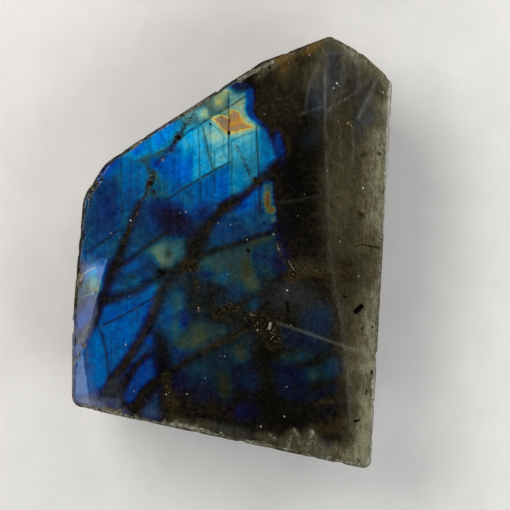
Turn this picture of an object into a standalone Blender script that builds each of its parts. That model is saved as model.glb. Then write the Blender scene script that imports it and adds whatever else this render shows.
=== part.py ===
"""Labradorite chunk: one stone, broken rough on its back and sides, with one face ground flat and polished.

The stone lies on its back with the polished face up. +Z points out of that face, +Y runs along the stone's
length, and the origin is the middle of its outline on the surface that it rests on. Lengths are in metres and
angles in degrees.
"""

from math import cos, radians, sin, tan
from random import Random

import bmesh
import bpy
from mathutils import Matrix, Vector

NAME = "labradorite_chunk"

# The polished face's outline, anticlockwise, as the sharp corners that the walls would meet in. Each has the
# radius that the corner is worn to, and the lean of the wall that leaves it (positive: narrower at the back).
THICKNESS = 0.0245
FACE_CORNERS = {
    "crown_tip": ((0.0219, 0.0479), 0.0012, 1.0),
    "brow_bend": ((0.0066, 0.0421), 0.0030, 2.0),
    "shoulder_top": ((-0.0284, 0.0197), 0.0060, 3.0),
    "shoulder_foot": ((-0.0334, 0.0126), 0.0060, 0.0),
    "left_heel": ((-0.0354, -0.0154), 0.0060, 1.0),
    "base_left": ((-0.0355, -0.0340), 0.0024, 2.0),
    "base_right": ((0.0307, -0.0482), 0.0016, 1.0),
    "crown_right": ((0.0356, 0.0380), 0.0016, 3.0),
    "crown_bend": ((0.0292, 0.0438), 0.0040, 2.0),
}
CORNER_SEGMENTS = 3
# An edge is upright where its unit vector rises by more than this.
UPRIGHT = 0.9

# Shallow facets ground into the polished face: the crease that each starts at, and its fall away from it.
FACE_FACETS = {
    "right_facet": ((0.0216, 0.0470), (0.0278, -0.0420), 4.0),
    "left_facet": ((-0.0338, -0.0260), (-0.0272, -0.0010), 13.0),
    "heel_facet": ((-0.0300, -0.0400), (-0.0326, -0.0230), 10.0),
}
RIM_RADIUS = 0.0009
RIM_SEGMENTS = 2
# How far up a ground facet faces at least, and a wall at most, as the height of its unit normal.
FACE_RISE = 0.9
WALL_RISE = 0.3

# Broken flats that run in under the walls: bearing from +X, reach from the Z axis where the flat meets the
# resting surface, and lean from the upright.
UNDERCUTS = {
    "crown_break": (47.0, 0.0435, 38.0),
    "right_break": (-9.0, 0.0285, 24.0),
    "corner_break": (-48.0, 0.0465, 37.0),
    "base_break": (-98.0, 0.0362, 41.0),
    "heel_break": (-128.0, 0.0395, 31.0),
    "left_break": (175.0, 0.0305, 17.0),
    "shoulder_break": (139.0, 0.0270, 33.0),
    "brow_break": (108.0, 0.0320, 27.0),
    "top_break": (78.0, 0.0330, 58.0),
    "back_break": (-70.0, 0.0330, 64.0),
    "side_break": (206.0, 0.0285, 60.0),
}

# Feldspar splits along two cleavages near a right angle. Steps broken from the lower edges follow them: each
# is a block taken out, as its lowest and highest corner in a frame turned with the cleavage.
CLEAVAGE_TURN = 4.0
CLEAVAGE_TILT = 4.0
STEPS = {
    "right_step": ((0.0290, -0.0230, -0.005), (0.050, 0.0090, 0.0075)),
    "right_upper_step": ((0.0312, -0.0390, -0.005), (0.050, -0.0120, 0.0112)),
    "crown_step": ((0.0225, 0.0330, -0.005), (0.050, 0.060, 0.0098)),
    "tip_step": ((0.0080, 0.0395, -0.005), (0.0240, 0.060, 0.0070)),
    "brow_step": ((-0.0100, 0.0290, -0.005), (0.0060, 0.060, 0.0112)),
    "slope_step": ((-0.0210, 0.0190, -0.005), (-0.0085, 0.060, 0.0082)),
    "shoulder_step": ((-0.050, 0.0080, -0.005), (-0.0240, 0.060, 0.0105)),
    "left_step": ((-0.060, -0.0170, -0.005), (-0.0305, 0.0030, 0.0086)),
    "heel_step": ((-0.060, -0.050, -0.005), (-0.0275, -0.0255, 0.0062)),
    "base_step": ((-0.0180, -0.060, -0.005), (0.0050, -0.0345, 0.0078)),
    "base_upper_step": ((-0.0090, -0.060, -0.005), (0.0170, -0.0395, 0.0116)),
    "back_step": ((-0.0330, 0.0120, -0.005), (0.0040, 0.0400, 0.0016)),
    "back_low_step": ((0.0110, -0.0480, -0.005), (0.0360, -0.0100, 0.0014)),
}

# Shell-shaped flakes knocked off the walls: bearing of the place from the Z axis, its height, and the ball
# that the scar follows, as its radius and how deep it bites.
WALL_FLAKES = {
    "left_scallop": (181.9, 0.0205, 0.0300, 0.0005),
    "left_low_scallop": (198.9, 0.0205, 0.0200, 0.0005),
    "crown_flake": (52.0, 0.0125, 0.0170, 0.0019),
    "right_flake": (20.0, 0.0135, 0.0200, 0.0016),
    "right_low_flake": (-41.0, 0.0140, 0.0150, 0.0013),
    "base_flake": (-66.0, 0.0130, 0.0180, 0.0019),
    "base_left_flake": (-121.0, 0.0125, 0.0160, 0.0016),
    "slope_flake": (112.0, 0.0140, 0.0190, 0.0016),
    "shoulder_flake": (149.0, 0.0125, 0.0140, 0.0013),
}
# Shallow flakes off the back, well inside its resting flat: place, ball radius and bite.
BACK_FLAKES = {
    "back_flake": (0.0110, 0.0190, 0.0480, 0.0011),
    "back_small_flake": (-0.0150, -0.0200, 0.0340, 0.0009),
}
# Hackles, the small scars that roughen the broken walls. They spread round the stone by the golden angle, and
# the ranges give each one's height, ball radius, bite and stretch.
HACKLE_COUNT = 58
HACKLE_SEED = 11
GOLDEN_ANGLE = 137.508
HACKLE_HEIGHT = (0.0030, 0.0185)
HACKLE_RADIUS = (0.0050, 0.0130)
HACKLE_BITE = (0.0004, 0.0012)
HACKLE_STRETCH = (1.1, 1.9)
# How far a named flake's ball is drawn out one way and squeezed the other.
FLAKE_STRETCH = 1.35
BALL_COLUMNS = 18
BALL_ROWS = 12

BLOCK_SIDE = 0.3
CUT_TOLERANCE = 1e-6


def clear_scene():
    """Removes what the scene holds."""
    for item in list(bpy.data.objects):
        bpy.data.objects.remove(item)


def new_collection(name):
    """A collection of that name, in the scene."""
    collection = bpy.data.collections.new(name)
    bpy.context.scene.collection.children.link(collection)
    return collection


def outward(bearing, height):
    """Unit vector at a bearing from +X and a height above level, both in degrees."""
    level = cos(radians(height))
    return Vector((level * cos(radians(bearing)), level * sin(radians(bearing)), sin(radians(height))))


def cleave(stone, point, normal):
    """Takes away what lies beyond the plane, and closes the cut with one flat face."""
    cut = bmesh.ops.bisect_plane(
        stone,
        geom=stone.verts[:] + stone.edges[:] + stone.faces[:],
        dist=CUT_TOLERANCE,
        plane_co=point,
        plane_no=normal,
        clear_outer=True,
    )
    edges = [item for item in cut["geom_cut"] if isinstance(item, bmesh.types.BMEdge)]
    bmesh.ops.contextual_create(stone, geom=edges)


def cut_walls(stone):
    """The walls: a plane down from each side of the outline, leaning by that side's angle."""
    corners = list(FACE_CORNERS.values())
    for (start, _, lean), (end, _, _) in zip(corners, corners[1:] + corners[:1]):
        along = Vector((*end, 0.0)) - Vector((*start, 0.0))
        level = along.cross(Vector((0, 0, 1))).normalized()
        down = -sin(radians(lean))
        cleave(stone, Vector((*start, THICKNESS)), level * cos(radians(lean)) + Vector((0, 0, down)))


def rise(edge):
    """How steeply an edge climbs: the height of its unit vector."""
    start, end = edge.verts
    return (end.co - start.co).normalized().z


def round_corners(stone):
    """Wears each upright corner of the outline to its radius."""
    for (x, y), radius, _ in FACE_CORNERS.values():
        place = Vector((x, y, THICKNESS))
        uprights = [edge for edge in stone.edges if abs(rise(edge)) > UPRIGHT]
        upright = min(uprights, key=lambda edge: min((vertex.co - place).length for vertex in edge.verts))
        turn = upright.calc_face_angle()
        bmesh.ops.bevel(
            stone,
            geom=[upright],
            offset=radius * tan(turn / 2),
            segments=CORNER_SEGMENTS,
            profile=0.5,
            affect="EDGES",
        )


def grind_facets(stone):
    """The shallow facets beside the main face, each falling away from its crease on the outline's side."""
    for start, end, fall in FACE_FACETS.values():
        along = Vector((*end, 0.0)) - Vector((*start, 0.0))
        level = Vector((0, 0, 1)).cross(along).normalized()
        normal = level * sin(radians(fall)) + Vector((0, 0, cos(radians(fall))))
        cleave(stone, Vector((*start, THICKNESS)), normal)


def round_rim(stone):
    """Rounds the polished face's edge over to the walls."""
    stone.normal_update()
    rim = []
    for edge in stone.edges:
        rises = [face.normal.z for face in edge.link_faces]
        if max(rises) > FACE_RISE and min(rises) < WALL_RISE:
            rim.append(edge)
    bmesh.ops.bevel(
        stone,
        geom=rim,
        offset=RIM_RADIUS,
        segments=RIM_SEGMENTS,
        profile=0.5,
        affect="EDGES",
        clamp_overlap=True,
    )


def cleaved_block():
    """The stone before its steps and flakes: a block cleaved by planes, as a mesh."""
    stone = bmesh.new()
    bmesh.ops.create_cube(stone, size=BLOCK_SIDE)
    cleave(stone, Vector((0, 0, THICKNESS)), Vector((0, 0, 1)))
    cleave(stone, Vector((0, 0, 0)), Vector((0, 0, -1)))
    cut_walls(stone)
    round_corners(stone)
    grind_facets(stone)
    round_rim(stone)
    for bearing, reach, lean in UNDERCUTS.values():
        cleave(stone, outward(bearing, 0.0) * reach, outward(bearing, -lean))
    bmesh.ops.recalc_face_normals(stone, faces=stone.faces)
    mesh = bpy.data.meshes.new(NAME)
    stone.to_mesh(mesh)
    stone.free()
    return mesh


def as_cutter(cutter, collection):
    """Moves the active object to the cutters' collection, hidden from the render."""
    for holder in list(cutter.users_collection):
        holder.objects.unlink(cutter)
    collection.objects.link(cutter)
    cutter.hide_render = True
    cutter.display_type = "WIRE"
    return cutter


def step_cutter(name, low, high, collection):
    """The block that leaves a step behind, turned and tilted with the cleavage."""
    low, high = Vector(low), Vector(high)
    turn = Matrix.Rotation(radians(CLEAVAGE_TURN), 4, "Z") @ Matrix.Rotation(radians(CLEAVAGE_TILT), 4, "Y")
    bpy.ops.mesh.primitive_cube_add(size=1.0)
    cutter = bpy.context.object
    cutter.name = name
    cutter.matrix_world = turn @ Matrix.Translation((low + high) / 2) @ Matrix.Diagonal((high - low).to_4d())
    return as_cutter(cutter, collection)


def flake_cutter(stone, name, start, direction, radius, bite, stretch, slant, collection):
    """The ball, drawn out along the surface, that leaves its scar where the ray leaves the stone."""
    _, place, normal, _ = stone.ray_cast(start, direction)
    facing = normal.to_track_quat("Z", "Y").to_matrix().to_4x4()
    shape = Matrix.Diagonal((radius * stretch, radius / stretch, radius, 1.0))
    bpy.ops.mesh.primitive_uv_sphere_add(segments=BALL_COLUMNS, ring_count=BALL_ROWS, radius=1.0)
    cutter = bpy.context.object
    cutter.name = name
    centre = Matrix.Translation(place + normal * (radius - bite))
    cutter.matrix_world = centre @ facing @ Matrix.Rotation(radians(slant), 4, "Z") @ shape
    return as_cutter(cutter, collection)


def flake_cutters(stone, collection):
    """The cutters of all the flakes: those named above, and the hackles round the walls."""
    for name, (bearing, height, radius, bite) in WALL_FLAKES.items():
        start = Vector((0, 0, height))
        direction = outward(bearing, 0.0)
        yield flake_cutter(stone, name, start, direction, radius, bite, FLAKE_STRETCH, bearing, collection)
    for name, (x, y, radius, bite) in BACK_FLAKES.items():
        start, direction = Vector((x, y, THICKNESS / 2)), Vector((0, 0, -1))
        yield flake_cutter(stone, name, start, direction, radius, bite, FLAKE_STRETCH, 0.0, collection)
    chance = Random(HACKLE_SEED)
    for number in range(HACKLE_COUNT):
        start = Vector((0, 0, chance.uniform(*HACKLE_HEIGHT)))
        radius, bite = chance.uniform(*HACKLE_RADIUS), chance.uniform(*HACKLE_BITE)
        stretch, slant = chance.uniform(*HACKLE_STRETCH), chance.uniform(0.0, 180.0)
        direction = outward(number * GOLDEN_ANGLE, 0.0)
        name = f"hackle_{number:02d}"
        yield flake_cutter(stone, name, start, direction, radius, bite, stretch, slant, collection)


def cut_away(stone, cutter):
    """Takes the cutter's shape out of the stone."""
    cut = stone.modifiers.new(cutter.name, "BOOLEAN")
    cut.operation = "DIFFERENCE"
    cut.solver = "EXACT"
    cut.object = cutter


def settle(stone, cutters):
    """Moves the finished stone, and its cutters with it, to put the origin at the middle of its footprint."""
    finished = stone.evaluated_get(bpy.context.evaluated_depsgraph_get())
    corners = [Vector(corner) for corner in finished.bound_box]
    middle = (corners[0] + corners[6]) / 2
    shift = Matrix.Translation((-middle.x, -middle.y, -corners[0].z))
    for item in [stone, *cutters]:
        item.matrix_world = shift @ item.matrix_world


def labradorite_material():
    """Dark blue-grey feldspar."""
    material = bpy.data.materials.new("labradorite")
    material.use_nodes = True
    shader = material.node_tree.nodes["Principled BSDF"]
    shader.inputs["Base Color"].default_value = (0.06, 0.08, 0.09, 1.0)
    shader.inputs["Roughness"].default_value = 0.35
    shader.inputs["Metallic"].default_value = 0.0
    material.diffuse_color = (0.06, 0.08, 0.09, 1.0)
    return material


def main():
    """Builds the stone."""
    clear_scene()
    parts = new_collection(NAME)
    cutters = new_collection("cutters")
    stone = bpy.data.objects.new(NAME, cleaved_block())
    parts.objects.link(stone)
    stone.data.materials.append(labradorite_material())
    bpy.context.view_layer.update()
    flakes = list(flake_cutters(stone, cutters))
    steps = [step_cutter(name, low, high, cutters) for name, (low, high) in STEPS.items()]
    for cutter in steps + flakes:
        cut_away(stone, cutter)
    bpy.context.view_layer.update()
    settle(stone, steps + flakes)


main()
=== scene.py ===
"""Looks of a labradorite chunk that lies on its broken back with its polished face up.

The stone's rough skin is one closed grid, laid onto the solid of the frame and then broken up by relief
that is worked out with numpy. Two finishes dress it: the polished face, with the colour flash of the
feldspar, and the broken rock of its sides and back. Sizes in the classes are millimetres in the frame's
axes, with +Z out of the polished face and +Y along the stone, and become metres where they meet Blender.
"""

from __future__ import annotations

import logging
from dataclasses import dataclass, field
from enum import Enum
from functools import reduce
from typing import Any, Callable, Protocol, TypeVar

import bpy
import numpy as np
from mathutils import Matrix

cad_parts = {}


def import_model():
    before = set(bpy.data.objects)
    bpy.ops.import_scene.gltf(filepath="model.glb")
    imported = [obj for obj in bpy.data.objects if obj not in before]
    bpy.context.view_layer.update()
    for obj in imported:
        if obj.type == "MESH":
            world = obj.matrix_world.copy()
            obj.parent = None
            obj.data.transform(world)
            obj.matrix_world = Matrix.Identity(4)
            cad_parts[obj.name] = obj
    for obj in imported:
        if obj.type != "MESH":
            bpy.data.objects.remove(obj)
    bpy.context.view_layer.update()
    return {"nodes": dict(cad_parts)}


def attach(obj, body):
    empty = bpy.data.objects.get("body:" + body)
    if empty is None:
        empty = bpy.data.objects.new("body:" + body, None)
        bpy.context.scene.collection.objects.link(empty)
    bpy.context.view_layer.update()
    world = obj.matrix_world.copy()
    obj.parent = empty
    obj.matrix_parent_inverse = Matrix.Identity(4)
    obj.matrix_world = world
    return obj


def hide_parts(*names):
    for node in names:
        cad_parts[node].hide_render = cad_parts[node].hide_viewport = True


MM = 0.001
STONE = "labradorite_chunk"
Array = np.ndarray
Point = tuple[float, float]
Path = tuple[float, ...]
Colour = tuple[float, float, float]
Stretch = tuple[float, float, float]
Palette = tuple[tuple[float, Colour], ...]
Socket = bpy.types.NodeSocket
NodeTree = bpy.types.NodeTree
Feed = Socket | float | tuple[float, ...]
Feeds = dict[str | int, Feed | None]
Finisher = Callable[..., NodeTree]
Kind = TypeVar("Kind")

log = logging.getLogger("stone")


# ---------------------------------------------------------------- numbers


def ease(low: float, high: float, value: Array) -> Array:
    """Smooth step: 0 up to low, 1 from high on, and 3t^2 - 2t^3 between, for t the share of the way."""
    share = np.clip((value - low) / (high - low), 0.0, 1.0)
    return share * share * (3.0 - 2.0 * share)


@dataclass(frozen=True)
class GrainNoise:
    """Gradient noise in space: a seeded slope at each corner of a cube lattice, blended between the corners.

    Attributes:
        seed: Seed of the slopes.
        table: How many slopes there are.
        gain: Brings the noise to about -1 to 1.
    """

    seed: int
    table: int = 256
    gain: float = 1.6

    def __call__(self, points: Array, size: float) -> Array:
        """Noise with lumps of about one size.

        Each corner of the point's lattice cell adds its slope times the offset from the corner, weighted by
        the fifth-degree fade 6t^5 - 15t^4 + 10t^3 along each axis.

        Args:
            points: Places, one row each, in the same unit as size.
            size: Side of a lattice cell.

        Returns:
            One value a point, within about -1 and 1.
        """
        rng = np.random.default_rng(self.seed)
        shuffle = rng.permutation(self.table)
        slopes = rng.normal(size=(self.table, 3))
        slopes /= np.linalg.norm(slopes, axis=1, keepdims=True)
        cell = np.floor(points / size)
        offset = points / size - cell
        fade = offset**3 * (offset * (offset * 6.0 - 15.0) + 10.0)
        cell = cell.astype(np.int64)
        total = np.zeros(len(points))
        for corner in np.ndindex(2, 2, 2):
            step = np.array(corner)
            index = (cell + step) % self.table
            pick = np.zeros(len(points), dtype=np.int64)
            for axis in range(3):
                pick = shuffle[(pick + index[:, axis]) % self.table]
            weight = np.prod(np.where(step == 1, fade, 1.0 - fade), axis=1)
            total += weight * np.einsum("ij,ij->i", slopes[pick], offset - step)
        return self.gain * total

    def layered(self, points: Array, size: float, layers: int) -> Array:
        """Noise summed over layers, each with half the lump size and half the height of the one before."""
        heights = 0.5 ** np.arange(layers)
        return sum(height * self(points, size * height) for height in heights) / heights.sum()

    def ridged(self, points: Array, size: float, layers: int) -> Array:
        """Sharp crests: (1 - |n|)^2 of the noise n, summed over layers as above, from 0 to 1.

        Args:
            points: Places in space, one row each.
            size: Size of the lumps of the first layer, in the points' unit.
            layers: How many layers there are.

        Returns:
            One value a point.
        """
        heights = 0.5 ** np.arange(layers)
        crests = (height * (1.0 - np.abs(self(points, size * height))) ** 2 for height in heights)
        return sum(crests) / heights.sum()


def distance_to_path(places: Array, path: Array) -> Array:
    """Distance from each place to a path of straight stretches, in the plane.

    The nearest point of a stretch a-b is a + t(b - a), with t = (p - a).(b - a) / |b - a|^2 kept from 0 to 1.

    Args:
        places: Points, one row of x and y each.
        path: The path's corners, one row each.

    Returns:
        The distances, one a place.
    """
    starts, spans = path[:-1], np.diff(path, axis=0)
    offset = places[:, None, :] - starts[None, :, :]
    share = np.clip((offset * spans).sum(axis=2) / np.linalg.norm(spans, axis=1) ** 2, 0.0, 1.0)
    return np.linalg.norm(offset - share[..., None] * spans, axis=2).min(axis=1)


# ---------------------------------------------------------------- the flash in the stone


def unrolled(path: Path) -> Array:
    """A path's corners, one row of x and y each, from a flat row of numbers."""
    return np.array(path, dtype=float).reshape(-1, 2)


def many(kind: Callable[..., Kind], *rows: tuple[Any, ...]) -> tuple[Kind, ...]:
    """Marks of one kind, each from a row of its values in order."""
    return tuple(kind(*row) for row in rows)


class Patch(Protocol):
    """Anything that covers a part of the polished face by a mask."""

    strength: float

    def mask(self, places: Array) -> Array:
        """How fully the patch covers each place, from 0 to 1."""


@dataclass(frozen=True)
class Glow:
    """A round-edged patch: an ellipse whose mask falls off over its soft margin.

    Attributes:
        x: Its middle across the stone, in millimetres.
        y: Its middle along the stone.
        length: Half its length.
        breadth: Half its breadth.
        turn: Bearing of its length from +X, in degrees.
        strength: How much it does at its middle.
        spacing: Spacing of the lamellae, as the place on the palette, from 0 for violet to 1 for copper.
        soft: Share of its reach over which it fades.
    """

    x: float
    y: float
    length: float
    breadth: float
    turn: float
    strength: float
    spacing: float = 0.0
    soft: float = 0.9

    def mask(self, places: Array) -> Array:
        """1 inside and 0 outside, eased over q, the ellipse's own radius: q^2 = (u/a)^2 + (v/b)^2.

        Args:
            places: Points of the face, one row of x and y each, in millimetres.

        Returns:
            The mask, one value a point.
        """
        angle = np.radians(self.turn)
        offset = places - np.array([self.x, self.y])
        along = offset @ np.array([np.cos(angle), np.sin(angle)]) / self.length
        across = offset @ np.array([-np.sin(angle), np.cos(angle)]) / self.breadth
        return 1.0 - ease(1.0 - self.soft, 1.0 + self.soft, np.hypot(along, across))


@dataclass(frozen=True)
class Pane:
    """A straight-edged patch between cleavages: a polygon of any shape.

    Attributes:
        corners: Its corners in order, x and y by turns, in millimetres.
        strength: How much it does inside.
        spacing: Spacing of the lamellae, as the place on the palette, from 0 for violet to 1 for copper.
        soft: Width of the fade across its edges, in millimetres.
    """

    corners: Path
    strength: float
    spacing: float
    soft: float

    def mask(self, places: Array) -> Array:
        """1 inside and 0 outside, eased over the distance to the sides, which counts as negative inside.

        A place is inside where a ray from it along +X meets the sides an odd number of times.

        Args:
            places: Points of the face, one row of x and y each, in millimetres.

        Returns:
            The mask, one value a point.
        """
        loop = unrolled((*self.corners, *self.corners[:2]))
        gap = distance_to_path(places, loop)
        (x_one, y_one), (x_two, y_two) = loop[:-1].T, loop[1:].T
        x, y = places[:, :1], places[:, 1:]
        climb = np.where(y_one == y_two, 1.0, y_two - y_one)
        meets = ((y_one > y) != (y_two > y)) & (x < x_one + (y - y_one) * (x_two - x_one) / climb)
        inside = meets.sum(axis=1) % 2 == 1
        return 1.0 - ease(-self.soft / 2, self.soft / 2, np.where(inside, -gap, gap))


@dataclass(frozen=True)
class Band:
    """A patch along a path, such as a zone where the lamellae are broken.

    Attributes:
        path: The corners that it runs through, x and y by turns, in millimetres.
        width: Its full width.
        strength: How much it does at its middle.
        soft: Width of the fade on either side.
    """

    path: Path
    width: float
    strength: float
    soft: float

    def mask(self, places: Array) -> Array:
        """1 at the middle of the band, eased to 0 past its edges."""
        gap = distance_to_path(places, unrolled(self.path))
        return 1.0 - ease(max(0.0, self.width - self.soft) / 2, (self.width + self.soft) / 2, gap)


def gathered(patches: tuple[Patch, ...], places: Array) -> Array:
    """How fully patches cover each place together, each taking its share of what the ones before have left.

    Args:
        patches: The patches.
        places: Points of the face, one row of x and y each, in millimetres.

    Returns:
        One value a point, from 0 to 1.
    """
    left = np.ones(len(places))
    for patch in patches:
        left *= 1.0 - patch.strength * patch.mask(places)
    return 1.0 - left


def wandered(places: Array, size: float, reach: float, seed: int) -> Array:
    """The places nudged by two scales of noise, so that no edge laid over them runs ruler-straight.

    Args:
        places: Points of the face, one row of x and y each, in millimetres.
        size: Size of the wide waves. The fine ones are a quarter of it.
        reach: How far the wide waves nudge. The fine ones nudge a third as far.
        seed: Seed of the noise.

    Returns:
        The nudged places.
    """
    flat = np.column_stack([places, np.zeros(len(places))])
    wide = [GrainNoise(seed + axis)(flat, size) for axis in (0, 1)]
    fine = [GrainNoise(seed + 7 + axis).layered(flat, size / 4, 2) for axis in (0, 1)]
    return places + reach * (np.stack(wide, axis=1) + 0.33 * np.stack(fine, axis=1))


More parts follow.
